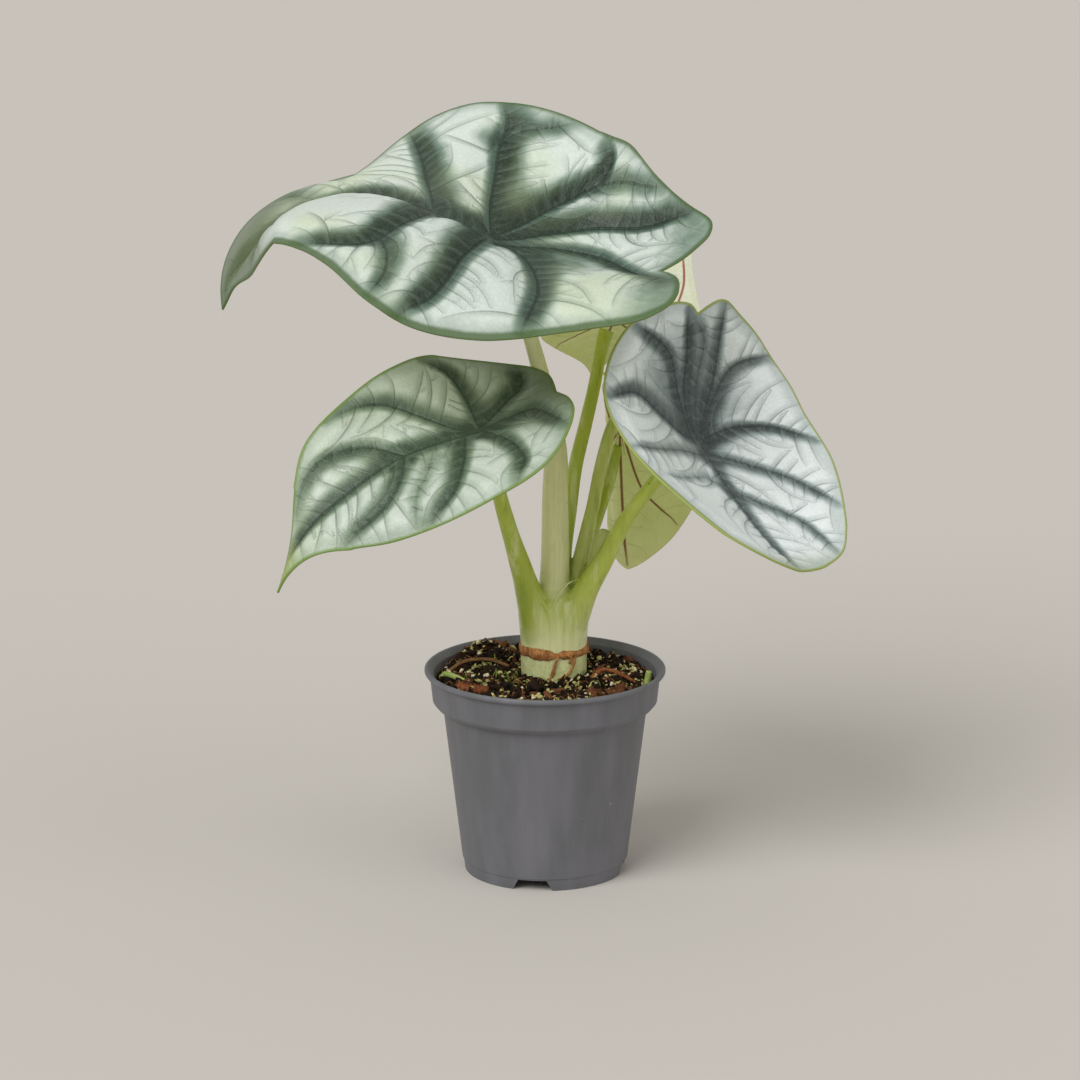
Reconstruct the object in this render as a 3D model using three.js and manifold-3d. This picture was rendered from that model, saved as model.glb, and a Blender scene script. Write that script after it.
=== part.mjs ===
// Potted silver dragon alocasia: a baby plant with six leaves in a small nursery pot.
// Millimetres, +Z up. The pot stands on Z = 0 and the large leaves face -Y.
// The pot axis is a little off the origin, which lies under the middle of the whole plant.

import * as THREE from 'three';
import { mergeVertices } from 'three/addons/utils/BufferGeometryUtils.js';
import Module from 'manifold-3d';

const wasm = await Module();
wasm.setup();

// Where the pot axis stands
const POT_AXIS = [3.67, -4.45];

// Gap that keeps neighbouring solids clear of each other
const GAP = 0.3;

// Nursery pot
const POT_HEIGHT = 52;
const LIP_RADIUS = 30;
const COLLAR_RADIUS = 28.7;
const COLLAR_FOOT_RADIUS = 28;
const COLLAR_DEPTH = 9.4;
const BODY_TOP_RADIUS = 25.4;
const FOOT_RADIUS = 20.1;
const WALL = 1.1;
const FLOOR_HEIGHT = 2.7;
const FLOOR = 1;
const POT_SIDES = 44;
const NOTCH_COUNT = 4;
const NOTCH_FIRST = -99;
const NOTCH_WIDTH = 9.7;
const NOTCH_TOP_WIDTH = 7.1;
const DRAIN_SLOT = [6, 4];
const DRAIN_RADIUS = 15.5;

// Soil
const SOIL_LEVEL = 48.2;
const SOIL_MOUND = 1.4;
const SOIL_HEAP = 1.8;
const SOIL_ROUGHNESS = 0.35;
const SOIL_RINGS = 6;
const LUMP_REACH = 24.5;
const LUMP_CLEARANCE = [12.5, 4.2];
const LUMP_COUNT = 24;

// Stem base, a short trunk of wrapped sheaths
const STEM = { x: 2.2, y: 3.5, foot: 37 };
const STEM_SECTIONS = [
  // height, half width, half depth
  [37, 7.2, 6.4],
  [47, 8.2, 7.2],
  [58, 8.3, 7.2],
  [65, 8.9, 7.0],
  [69, 8.6, 6.4],
  [71.5, 6.2, 4.4],
];
const STEM_SIDES = 24;

// Brown papery scar round the stem base, with strips that hang from it
const SCAR_HEIGHT = 56;
const SCAR_WIDTH = 2.4;
const SCAR_THICKNESS = 0.7;
const SCAR_WAVES = 5;
const STRIP_ANGLES = [-62, -98, -140];

// Petioles: route from inside the stem base to the blade, and radii from root to blade
const PETIOLES = {
  a: {
    route: [[2, 3.5, 64], [2.5, 3, 78.5], [2.5, 3, 94], [2.5, 2.5, 107], [0.4, 2, 119.5], [-3, 1, 133.5],
      [-7.8, 0.5, 148.5], [-12.5, 0, 160.5]],
    radii: [4.2, 3.6, 3.3, 2.9, 2.3, 1.9, 1.7, 1.6],
    colour: 0xa3ad5f,
  },
  b: {
    route: [[-2, 1, 64], [-5, -2, 75], [-8, -6, 86], [-10.5, -10, 96], [-12.5, -15, 106],
      [-15.5, -20, 117.5]],
    radii: [4.2, 2.9, 2.2, 1.9, 1.6, 1.4],
    colour: 0x8c9f2e,
  },
  c: {
    route: [[6.5, 2, 64.5], [10, 0.5, 71.5], [14.5, -1, 79.5], [19.5, -2, 89.5], [23.5, -2.5, 95.5],
      [28, -2, 101], [33, -1.5, 106.5], [37.5, -3, 111]],
    radii: [4.2, 3.2, 2.4, 1.9, 1.8, 1.7, 1.6, 1.5],
    colour: 0x8c9f2e,
  },
  e: {
    route: [[4, 7, 66], [4.5, 9, 79], [6, 10.5, 89], [7.5, 12, 100], [10, 13.5, 110.5], [12, 15, 119],
      [13.5, 16.5, 126.5], [15, 18, 132.5], [17, 19, 137]],
    radii: [2.6, 2.2, 1.9, 1.8, 1.7, 1.6, 1.6, 1.9, 2.4],
    colour: 0x7f9330,
  },
  f: {
    route: [[7, 5, 67], [8.5, 6.5, 75.5], [10.5, 8, 84.5], [12, 9.5, 91], [14, 12, 101], [16.5, 14.5, 109.5],
      [20.5, 17, 117], [26, 23, 124.5], [30, 34, 131.5]],
    radii: [2.4, 2.2, 1.9, 1.7, 1.6, 1.5, 1.4, 1.4, 1.4],
    colour: 0x9db33a,
  },
  d: {
    route: [[7, 8, 66], [9, 12, 76], [13, 18, 86], [16.5, 22.4, 95.5], [19, 24.6, 106]],
    radii: [2.2, 2.0, 1.8, 1.6, 1.5],
    colour: 0x86983a,
  },
};
const PETIOLE_SIDES = 9;
const PETIOLE_STEPS = 10;

// Cut stub of an old petiole among the others
const STUB = {
  route: [[9.5, 2.5, 69], [11.5, 4, 77], [14.5, 4.5, 83], [15.5, 4.6, 85.5]],
  radii: [1.5, 1.2, 1.3, 1.8],
};

// Leaf blades. Each blade is drawn flat, x from the petiole toward the tip and y across it, then
// arched along its midrib, curved across, twisted and turned into place.
const BLADE_THICKNESS = 0.8;
const QUILT_WIDTH = 4.5;
const RIM_CURL = 0.9;
const LEAVES = {
  a: {
    seat: [-12.5, 0, 160], heading: 161, pitch: -31, roll: -2,
    archNear: 0.0175, archTip: 0.0095, archBack: -0.019, tipFrom: 48,
    curlLeft: [0.013, -0.0001], curlRight: [-0.0225, 0.0003], twist: 0, tipTwist: -0.018,
    left: [[87, 0], [79, 4.5], [69, 17], [56, 28], [41, 36], [29, 43], [15, 49], [0, 49], [-14, 42],
      [-24, 35], [-35, 30.5], [-46, 29.5], [-52.5, 25], [-51.5, 14], [-43, -3]],
    right: [[87, 0], [82.5, 6.5], [78, 13.5], [72, 20], [63, 24], [54, 25.5], [46, 34], [38, 46], [26, 51.5],
      [10, 51.5], [-8, 49.8], [-24, 46], [-38, 36.5], [-49, 26.5], [-55, 19.5], [-54.5, 14.5], [-50, 10.5],
      [-43, 3]],
    veins: [
      [[0, -2], [12, 1.5], [27, -2], [43, -5], [56, 3], [82, 0]],
      [[15, 1], [21.5, -11], [26.5, -21], [36, -42]],
      [[2, -4], [8, -16.5], [15, -37.5], [18.5, -51]],
      [[15.5, -40.5], [5, -49.5]],
      [[1, -3], [-1, -14.5], [-5, -27], [-14, -37], [-11.5, -47]],
      [[-14, -36.5], [-37, -34.5]],
      [[-1, -3], [-7.5, -16], [-20, -23], [-48, -24]],
      [[-2, -3], [-12, -11.5], [-24, -12.5], [-48, 10]],
      [[-2, -2], [-8, -1], [-15, 8], [-21, 30]],
      [[1, 2], [0.5, 17], [-1, 30], [0.5, 47]],
      [[16, 3], [18.5, 18], [21, 29.5], [39, 35.5]],
      [[20.5, 27.5], [14, 36], [12.5, 48]],
    ],
    quilt: 2.1, spokes: 64, rings: 10, colour: 0xdfe8df,
  },
  b: {
    seat: [-15.5, -20, 117], heading: 206, pitch: 6, roll: 13,
    archNear: 0.0144, archTip: 0.0115, archBack: -0.03, tipFrom: 45,
    curlLeft: [-0.0036, 0.0006], curlRight: [-0.024, -0.0002], twist: -0.0068, tipTwist: 0.047,
    left: [[66.5, 0], [55, 4.8], [46, 10.7], [36, 17.6], [23.5, 22.7], [11.5, 26], [0, 27.2], [-11.5, 24.6],
      [-19.6, 16.8], [-21.9, 8], [-21.2, 0.2]],
    right: [[66.5, 0], [54.5, 4.8], [45.7, 10.6], [36.5, 17.8], [23, 22.3], [11.5, 25.8], [0, 27.8],
      [-11.5, 24.7], [-20, 17], [-23, 8.3], [-21.2, -0.2]],
    veins: [
      [[0, 0], [20, -0.5], [40, -1], [64, 0]],
      [[5, -2], [12, -12], [18, -17], [31, -20]],
      [[20, -1], [26, -8], [35, -12], [47, -9]],
      [[0, -2], [-2.5, -13], [2, -25]],
      [[-1, -2], [-10.5, -7.5], [-19, -16]],
      [[-1, -1], [-8, -1.5], [-15, 3], [-16.5, 17]],
      [[-1, 1], [-3.5, 9], [1, 25]],
      [[5, 2], [10, 11], [16, 17.5], [26, 21]],
      [[20, 0], [25, 6], [32, 10], [44, 10.5]],
    ],
    quilt: 1.4, spokes: 48, rings: 8, colour: 0xb9c8ba,
  },
  c: {
    seat: [37.5, -3, 110.5], heading: -54.5, pitch: 47.5, roll: 16,
    archNear: -0.0106, archTip: -0.0166, archBack: -0.035, tipFrom: 36,
    curlLeft: [-0.0215, -0.0002], curlRight: [-0.007, -0.0002], twist: -0.0013, tipTwist: -0.0043,
    left: [[46, 0], [45.4, 4.5], [44.5, 11], [41, 20], [29, 28.2], [15, 33.2], [0, 33.6], [-15, 31.5],
      [-27.5, 22.8], [-34.3, 12.6], [-37, 5.4], [-32.3, 0.2]],
    right: [[46, 0], [46.6, 4], [45.5, 10.5], [41, 19.5], [29, 28.2], [15, 33.2], [0, 33.2], [-14.5, 31],
      [-27.5, 23.2], [-34, 12.5], [-34.8, 5], [-32.3, -0.2]],
    veins: [
      [[0, 0], [17, 1], [42, -1]],
      [[-1, 3], [-3, 14], [-1, 24], [6, 32]],
      [[4, 2], [8, 11.5], [15.5, 21], [28, 27]],
      [[15, 1], [20, 8], [29, 15], [43, 17]],
      [[-2, 3], [-12, 10], [-20, 16], [-24, 27]],
      [[-2, 2], [-14, 9], [-25, 10.5], [-37, 7]],
      [[-2, 1], [-15, 4], [-26, 3.5], [-34, -4]],
      [[-2, -1], [-12, -2], [-22, -7], [-28, -20]],
      [[-1, -3], [-7, -11], [-12, -20], [-11, -31]],
      [[4, -1], [3.5, -10], [5, -25]],
      [[15, 0], [12, -6], [14, -19]],
    ],
    quilt: 1.3, spokes: 48, rings: 8, colour: 0xd5dedb,
  },
  d: {
    seat: [19, 24.6, 105.5], heading: 80, pitch: 78, roll: 0,
    archNear: -0.004, archTip: -0.02, archBack: -0.03, tipFrom: 24,
    curlLeft: [-0.24, 0], curlRight: [0.008, 0], twist: 0, tipTwist: 0,
    left: [[41, 0], [36, 3.5], [24, 7.5], [6, 11], [-9, 11], [-16, 7], [-13, 0.2]],
    right: [[41, 0], [37, 5], [26, 14], [12, 20.5], [-4, 20.5], [-16, 12], [-13, -0.2]],
    veins: [[[0, 0], [14, 0], [38, 0]], [[0, -1], [14, -5], [21, -11]], [[-1, -1], [-2, -9], [2, -16]],
      [[-1, 0], [-9, -4], [-15, -8]], [[0, 1], [10, 6], [18, 10]], [[-1, 1], [-9, 4], [-15, 7]]],
    quilt: 0.6, spokes: 36, rings: 6, colour: 0xa9b066,
  },
  e: {
    seat: [17, 19, 136.5], heading: 104, pitch: 36, roll: 0,
    archNear: 0.004, archTip: 0.01, archBack: 0.012, tipFrom: 24,
    curlLeft: [0.012, 0], curlRight: [0.012, 0], twist: 0, tipTwist: 0,
    left: [[28.5, 0], [22.5, 3.5], [13, 12], [3, 18.5], [-7, 18], [-14, 10], [-11, 0.2]],
    right: [[28.5, 0], [23, 3], [14, 7.5], [4, 10.5], [-7, 11], [-14, 7], [-11, -0.2]],
    veins: [[[0, 0], [14, 0], [27, 0]], [[0, 1], [7, 9], [11, 13]], [[0, -1], [7, -6], [12, -8]],
      [[-1, 1], [-7, 8], [-10, 14]], [[-1, -1], [-7, -5], [-13, -7]]],
    quilt: 0.6, spokes: 36, rings: 6, colour: 0xa9b98a,
  },
  f: {
    seat: [30, 34, 131], heading: 100, pitch: 74, roll: 0,
    archNear: 0.0, archTip: 0.0, archBack: 0.004, tipFrom: 24,
    curlLeft: [0.02, 0], curlRight: [0.02, 0], twist: 0, tipTwist: 0,
    left: [[28, 0], [23, 2.5], [14, 6], [2, 8], [-12, 8.5], [-24, 5.5], [-20, 0.2]],
    right: [[28, 0], [23, 3], [14, 8], [3, 10.8], [-8, 8], [-16, 6], [-24, 4.2], [-20, -0.2]],
    veins: [[[0, 0], [14, 0], [27, 0]], [[0, 1], [7, 4], [12, 6]], [[0, -1], [6, -6], [12, -8]],
      [[-1, 1], [-12, 4], [-20, 5]], [[-1, -1], [-12, -4], [-22, -3]]],
    quilt: 0.5, spokes: 36, rings: 6, colour: 0xe9ebdd,
  },
};

// Loose things that lie on the soil or stand in it: routes across the soil, radii, and the
// height of each route point above the soil surface
const LITTER = {
  root_right: {
    route: [[11.5, -3], [14, -0.5], [17, 0], [19.5, -2], [22.5, -3.5]],
    radii: [0.6, 0.6, 0.5, 0.5, 0.4],
    rise: [0.4, 0.8, 0.6, 0.6, 0.2],
    colour: 0x6b3a22,
  },
  strip_left: {
    route: [[-24, 5], [-20, 8], [-14, 8.5], [-9, 5]],
    radii: [0.6, 0.7, 0.7, 0.5],
    rise: [0.5, 0.6, 0.7, 0.4],
    colour: 0x8a5a34,
  },
  bark_left: {
    route: [[-22, -8], [-18.5, -10.5], [-14, -12]],
    radii: [1.2, 1.6, 1.1],
    rise: [0.2, 0.4, 0.2],
    colour: 0x8f5a32,
  },
  sprout: {
    route: [[-26, 1.5], [-24.5, -1], [-21, -4], [-19, -4.5]],
    radii: [0.7, 0.8, 0.8, 0.6],
    rise: [0.3, 1.2, 1.0, 0.2],
    colour: 0xa9c05a,
  },
  stub_right: {
    route: [[25, -5.5], [25.3, -5.6], [25.7, -5.8]],
    radii: [0.9, 0.8, 0.7],
    rise: [-1.5, 1.5, 4.2],
    colour: 0xb6bf6a,
  },
};

// Draws that must come out the same every time
function makeRandom(seed) {
  let state = seed;
  return () => {
    state = (state * 1664525 + 1013904223) % 4294967296;
    return state / 4294967296;
  };
}

// Closed body from rings of points, with a centre point on each end
function loft(rings) {
  const count = rings[0].length;
  const points = rings.flat();
  const centre = (ring) => ring.reduce((sum, p) => sum.add(p), new THREE.Vector3()).divideScalar(count);
  const firstCentre = points.push(centre(rings[0])) - 1;
  const lastCentre = points.push(centre(rings[rings.length - 1])) - 1;
  const index = [];
  for (let i = 0; i < count; i += 1) {
    const next = (i + 1) % count;
    index.push(firstCentre, next, i);
    const last = (rings.length - 1) * count;
    index.push(lastCentre, last + i, last + next);
    for (let k = 0; k < rings.length - 1; k += 1) {
      const low = k * count;
      const high = low + count;
      index.push(low + i, low + next, high + next);
      index.push(low + i, high + next, high + i);
    }
  }
  return indexedGeometry(points, index);
}

function indexedGeometry(points, index) {
  const geometry = new THREE.BufferGeometry().setFromPoints(points);
  geometry.setIndex(index);
  geometry.computeVertexNormals();
  return geometry;
}

// Booleans
function toSolid(geometry) {
  const bare = geometry.clone();
  bare.deleteAttribute('normal');
  bare.deleteAttribute('uv');
  const merged = mergeVertices(bare, 1e-4);
  const mesh = new wasm.Mesh({
    numProp: 3,
    vertProperties: new Float32Array(merged.attributes.position.array),
    triVerts: new Uint32Array(merged.index.array),
  });
  return new wasm.Manifold(mesh);
}

function toGeometry(solid) {
  const mesh = solid.getMesh();
  const geometry = new THREE.BufferGeometry();
  geometry.setAttribute('position', new THREE.BufferAttribute(mesh.vertProperties, 3));
  geometry.setIndex(new THREE.BufferAttribute(mesh.triVerts, 1));
  geometry.computeVertexNormals();
  return geometry;
}

function largestBody(solid) {
  return solid.decompose().reduce((best, body) => (body.volume() > best.volume() ? body : best));
}

// Tapered round tube along a route. Growth widens it everywhere, to cut clearances.
function taperedTube(route, radii, growth = 0, sides = PETIOLE_SIDES, steps = PETIOLE_STEPS) {
  const points = route.map((p) => new THREE.Vector3(...p));
  const curve = new THREE.CatmullRomCurve3(points, false, 'catmullrom', 0.5);
  const across = new THREE.Vector3(0, 1, 0);
  const rings = [];
  for (let k = 0; k <= steps; k += 1) {
    const t = k / steps;
    const centre = curve.getPoint(t);
    const tangent = curve.getTangent(t);
    const u = new THREE.Vector3().crossVectors(across, tangent).normalize();
    const v = new THREE.Vector3().crossVectors(tangent, u);
    const place = t * (radii.length - 1);
    const low = Math.min(Math.floor(place), radii.length - 2);
    const radius = THREE.MathUtils.lerp(radii[low], radii[low + 1], place - low) + growth;
    const ring = [];
    for (let i = 0; i < sides; i += 1) {
      const angle = (2 * Math.PI * i) / sides;
      const point = centre.clone().addScaledVector(u, radius * Math.cos(angle));
      ring.push(point.addScaledVector(v, radius * Math.sin(angle)));
    }
    rings.push(ring);
  }
  return loft(rings);
}

// Pot: a turned shell, with notches and drain slots cut round its foot
function potGeometry() {
  const bodyTop = POT_HEIGHT - COLLAR_DEPTH;
  const inner = (radius) => radius - WALL;
  const profile = [
    [0, FLOOR_HEIGHT],
    [inner(FOOT_RADIUS), FLOOR_HEIGHT],
    [inner(FOOT_RADIUS), 0],
    [FOOT_RADIUS, 0],
    [FOOT_RADIUS + 0.35, FLOOR_HEIGHT + 0.2],
    [FOOT_RADIUS + 0.65, FLOOR_HEIGHT + 0.5],
    [BODY_TOP_RADIUS, bodyTop - 0.8],
    [BODY_TOP_RADIUS + 0.3, bodyTop - 0.2],
    [COLLAR_FOOT_RADIUS - 0.9, bodyTop + 0.1],
    [COLLAR_FOOT_RADIUS, bodyTop + 1.2],
    [COLLAR_RADIUS, POT_HEIGHT - 2.2],
    [LIP_RADIUS - 0.3, POT_HEIGHT - 1.7],
    [LIP_RADIUS, POT_HEIGHT - 1.1],
    [LIP_RADIUS, POT_HEIGHT - 0.4],
    [LIP_RADIUS - 0.4, POT_HEIGHT],
    [LIP_RADIUS - 1.2, POT_HEIGHT],
    [inner(COLLAR_RADIUS) + 0.1, POT_HEIGHT - 1.4],
    [inner(COLLAR_FOOT_RADIUS), bodyTop + 1.6],
    [inner(BODY_TOP_RADIUS) + 0.2, bodyTop + 0.9],
    [inner(BODY_TOP_RADIUS), bodyTop + 0.2],
    [inner(FOOT_RADIUS) + 0.6, FLOOR_HEIGHT + FLOOR],
    [0, FLOOR_HEIGHT + FLOOR],
  ];
  const shell = new THREE.LatheGeometry(profile.map((p) => new THREE.Vector2(...p)), POT_SIDES);
  shell.rotateX(Math.PI / 2);
  let solid = toSolid(shell);
  for (let i = 0; i < NOTCH_COUNT; i += 1) {
    const angle = THREE.MathUtils.degToRad(NOTCH_FIRST + (360 / NOTCH_COUNT) * i);
    solid = solid.subtract(toSolid(notchCutter(angle)));
    solid = solid.subtract(toSolid(drainCutter(angle)));
  }
  return toGeometry(solid);
}

// Trapezoid cut through the foot ring, wide at the bottom
function notchCutter(angle) {
  const low = NOTCH_WIDTH / 2;
  const high = NOTCH_TOP_WIDTH / 2;
  const outline = new THREE.Shape();
  outline.moveTo(-low - 0.3, -0.3);
  outline.lineTo(low + 0.3, -0.3);
  outline.lineTo(high, FLOOR_HEIGHT);
  outline.lineTo(-high, FLOOR_HEIGHT);
  outline.closePath();
  const cutter = new THREE.ExtrudeGeometry(outline, { depth: 8, bevelEnabled: false });
  cutter.rotateX(Math.PI / 2);
  cutter.rotateZ(Math.PI / 2);
  cutter.translate(FOOT_RADIUS - 4, 0, 0);
  cutter.rotateZ(angle);
  return cutter;
}

function drainCutter(angle) {
  const cutter = new THREE.BoxGeometry(DRAIN_SLOT[1], DRAIN_SLOT[0], FLOOR * 3);
  cutter.translate(DRAIN_RADIUS, 0, FLOOR_HEIGHT + FLOOR / 2);
  cutter.rotateZ(angle);
  return cutter;
}

// Height of the soil surface: level, mounded round the stem, heaped at the back left, and rough
function soilHeight(x, y) {
  const fromStem = Math.hypot(x - STEM.x, y - STEM.y);
  const mound = SOIL_MOUND * Math.exp(-((fromStem / 15) ** 2));
  const heap = SOIL_HEAP * Math.exp(-(((x + 17) / 8) ** 2) - ((y - 16) / 9) ** 2);
  const coarse = Math.sin(0.55 * x + 1.3) * Math.sin(0.62 * y + 0.4);
  const fine = Math.sin(1.35 * x - 0.7 * y) * Math.sin(1.1 * y + 0.9 * x + 2);
  return SOIL_LEVEL + mound + heap + SOIL_ROUGHNESS * (coarse + fine);
}

// Soil: fills the pot, with a blind hole for the stem base and a lumpy top
function soilGeometry(raise = 0) {
  const bodyTop = POT_HEIGHT - COLLAR_DEPTH;
  const sides = POT_SIDES;
  const wallTop = COLLAR_RADIUS - WALL - GAP - 0.2;
  const outside = [
    [FOOT_RADIUS - WALL + 0.5 - GAP, FLOOR_HEIGHT + FLOOR + GAP],
    [BODY_TOP_RADIUS - WALL - GAP, bodyTop + 0.2],
    [BODY_TOP_RADIUS - WALL - GAP, bodyTop + 1.4],
    [COLLAR_FOOT_RADIUS - WALL - GAP, bodyTop + 2.2],
  ];
  const ringAt = (place) => {
    const ring = [];
    for (let i = 0; i < sides; i += 1) {
      const angle = (2 * Math.PI * i) / sides;
      ring.push(place(Math.cos(angle), Math.sin(angle)));
    }
    return ring;
  };
  const rings = outside.map(([radius, z]) => ringAt((c, s) => new THREE.Vector3(radius * c, radius * s, z)));
  for (let k = 0; k <= SOIL_RINGS; k += 1) {
    const share = k / SOIL_RINGS;
    rings.push(ringAt((c, s) => {
      const hole = stemPoint(47, c, s, GAP + 0.2);
      const x = THREE.MathUtils.lerp(wallTop * c, hole.x, share);
      const y = THREE.MathUtils.lerp(wallTop * s, hole.y, share);
      return new THREE.Vector3(x, y, soilHeight(x, y) + raise);
    }));
  }
  rings.push(ringAt((c, s) => stemPoint(STEM.foot, c, s, 0.3 + GAP, STEM.foot - GAP)));
  return loft(rings);
}

// Point on the stem base at a height, in the direction (c, s), pushed out by growth
function stemPoint(height, c, s, growth = 0, z = height) {
  let k = 0;
  while (k < STEM_SECTIONS.length - 2 && height > STEM_SECTIONS[k + 1][0]) k += 1;
  const [low, width, depth] = STEM_SECTIONS[k];
  const [high, nextWidth, nextDepth] = STEM_SECTIONS[k + 1];
  const share = (height - low) / (high - low);
  const x = THREE.MathUtils.lerp(width, nextWidth, share) + growth;
  const y = THREE.MathUtils.lerp(depth, nextDepth, share) + growth;
  return new THREE.Vector3(STEM.x + x * c, STEM.y + y * s, z);
}

function stemGeometry(growth = 0) {
  const rings = STEM_SECTIONS.map(([height], k) => {
    const last = k === STEM_SECTIONS.length - 1;
    const ring = [];
    for (let i = 0; i < STEM_SIDES; i += 1) {
      const angle = (2 * Math.PI * i) / STEM_SIDES;
      ring.push(stemPoint(height, Math.cos(angle), Math.sin(angle), growth, last ? height + growth : height));
    }
    return ring;
  });
  return loft(rings);
}

// Bark and perlite lumps half sunk in the soil, kept off the wall, the stem and the litter
function lumps() {
  const random = makeRandom(7);
  const [fromStem, fromLitter] = LUMP_CLEARANCE;
  const bare = (x, y) => Math.hypot(x - STEM.x, y - STEM.y) > fromStem && !nearLitter(x, y, fromLitter);
  const solids = [];
  while (solids.length < LUMP_COUNT) {
    const angle = 2 * Math.PI * random();
    const radius = LUMP_REACH * Math.sqrt(random());
    const x = radius * Math.cos(angle);
    const y = radius * Math.sin(angle);
    const size = 0.9 + 1.1 * random();
    const turn = Math.PI * random();
    const long = random() < 0.5;
    if (!bare(x, y)) continue;
    const lump = long ? new THREE.BoxGeometry(2.4, 1.3, 1) : new THREE.IcosahedronGeometry(1, 0);
    lump.scale(size, size, size * 0.8);
    lump.rotateX(0.4 * turn);
    lump.rotateZ(turn);
    lump.translate(x, y, soilHeight(x, y));
    solids.push(toSolid(lump));
  }
  return solids;
}

function nearLitter(x, y, distance) {
  const near = (p) => Math.hypot(x - p[0], y - p[1]) < distance;
  return Object.values(LITTER).some(({ route }) => route.some(near));
}

function soilWithLumps() {
  const whole = lumps().reduce((solid, lump) => solid.add(lump), toSolid(soilGeometry()));
  return toGeometry(largestBody(whole));
}

// A thing that lies on the soil: cut off just above the surface it lies on
function litterGeometry({ route, radii, rise }) {
  const path = route.map(([x, y], i) => [x, y, soilHeight(x, y) + rise[i]]);
  const body = toSolid(taperedTube(path, radii, 0, 7, 8));
  return toGeometry(largestBody(body.subtract(toSolid(soilGeometry(GAP)))));
}

// Scar: a torn band round the stem base, and strips that hang from it down to the soil
function scarGeometry() {
  const sides = 36;
  const corners = [];
  for (let i = 0; i < sides; i += 1) {
    const angle = (2 * Math.PI * i) / sides;
    const c = Math.cos(angle);
    const s = Math.sin(angle);
    const low = SCAR_HEIGHT - SCAR_WIDTH / 2 + 0.35 * Math.sin(SCAR_WAVES * angle);
    const high = SCAR_HEIGHT + SCAR_WIDTH / 2 + 0.3 * Math.sin((SCAR_WAVES + 2) * angle + 1);
    corners.push([
      stemPoint(low, c, s, GAP),
      stemPoint(low, c, s, GAP + SCAR_THICKNESS),
      stemPoint(high, c, s, GAP + SCAR_THICKNESS),
      stemPoint(high, c, s, GAP),
    ]);
  }
  const index = [];
  for (let i = 0; i < sides; i += 1) {
    const next = (i + 1) % sides;
    for (let k = 0; k < 4; k += 1) {
      const after = (k + 1) % 4;
      index.push(i * 4 + k, next * 4 + k, next * 4 + after);
      index.push(i * 4 + k, next * 4 + after, i * 4 + after);
    }
  }
  let solid = toSolid(indexedGeometry(corners.flat(), index));
  for (const degrees of STRIP_ANGLES) {
    const angle = THREE.MathUtils.degToRad(degrees);
    const away = GAP + SCAR_THICKNESS / 2 + 0.15;
    const top = stemPoint(SCAR_HEIGHT, Math.cos(angle), Math.sin(angle), away);
    const middle = stemPoint(SCAR_HEIGHT - 3, Math.cos(angle - 0.12), Math.sin(angle - 0.12), away + 0.25);
    const end = stemPoint(SCAR_HEIGHT - 5, Math.cos(angle - 0.2), Math.sin(angle - 0.2), away + 0.5);
    const route = [top, middle, end].map((p) => p.toArray());
    solid = solid.add(toSolid(taperedTube(route, [0.5, 0.5, 0.35], 0, 6, 4)));
  }
  return toGeometry(largestBody(solid));
}

// Leaf frame: toward the tip, to the left, and out of the upper face
function leafFrame({ heading, pitch, roll }) {
  const [h, p, r] = [heading, pitch, roll].map(THREE.MathUtils.degToRad);
  const toTip = new THREE.Vector3(Math.cos(h) * Math.cos(p), Math.sin(h) * Math.cos(p), -Math.sin(p));
  const level = new THREE.Vector3(Math.cos(h) * Math.sin(p), Math.sin(h) * Math.sin(p), Math.cos(p));
  const side = new THREE.Vector3().crossVectors(level, toTip);
  const up = level.clone().multiplyScalar(Math.cos(r)).addScaledVector(side, Math.sin(r));
  const left = side.clone().multiplyScalar(Math.cos(r)).addScaledVector(level, -Math.sin(r));
  return { toTip, left, up };
}

// Run along an arc that starts at a droop angle: how far it goes forward, and how far down
function arcRun(start, bend, length) {
  const safe = Math.abs(bend) > 1e-6 ? bend : 1e-6;
  const end = start + safe * length;
  return [(Math.sin(end) - Math.sin(start)) / safe, (Math.cos(end) - Math.cos(start)) / safe, end];
}

// Place of the flat blade point (x, y) on the bent blade
function bladePoint(leaf, frame, x, y) {
  const near = THREE.MathUtils.clamp(x, 0, leaf.tipFrom);
  const far = Math.max(x - leaf.tipFrom, 0);
  const [x1, z1, droop1] = arcRun(0, leaf.archNear, near);
  const [x2, z2, droop2] = arcRun(droop1, leaf.archNear + leaf.archTip, far);
  const [x3, z3, droop3] = arcRun(0, leaf.archBack, Math.min(x, 0));
  const droop = droop2 + droop3;
  const [curl, curlChange] = y >= 0 ? leaf.curlLeft : leaf.curlRight;
  const bend = curl + curlChange * x;
  const [across, sag] = arcRun(0, bend, y);
  const twist = leaf.twist * x + leaf.tipTwist * far;
  const sideways = across * Math.cos(twist) - sag * Math.sin(twist);
  const rise = across * Math.sin(twist) + sag * Math.cos(twist);
  return new THREE.Vector3(...leaf.seat)
    .addScaledVector(frame.toTip, x1 + x2 + x3 + Math.sin(droop) * rise)
    .addScaledVector(frame.up, z1 + z2 + z3 + Math.cos(droop) * rise)
    .addScaledVector(frame.left, sideways);
}

function bladeNormal(leaf, frame, x, y) {
  const step = 0.25;
  const alongX = bladePoint(leaf, frame, x + step, y).sub(bladePoint(leaf, frame, x - step, y));
  const alongY = bladePoint(leaf, frame, x, y + step).sub(bladePoint(leaf, frame, x, y - step));
  return alongX.cross(alongY).normalize();
}

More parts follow.
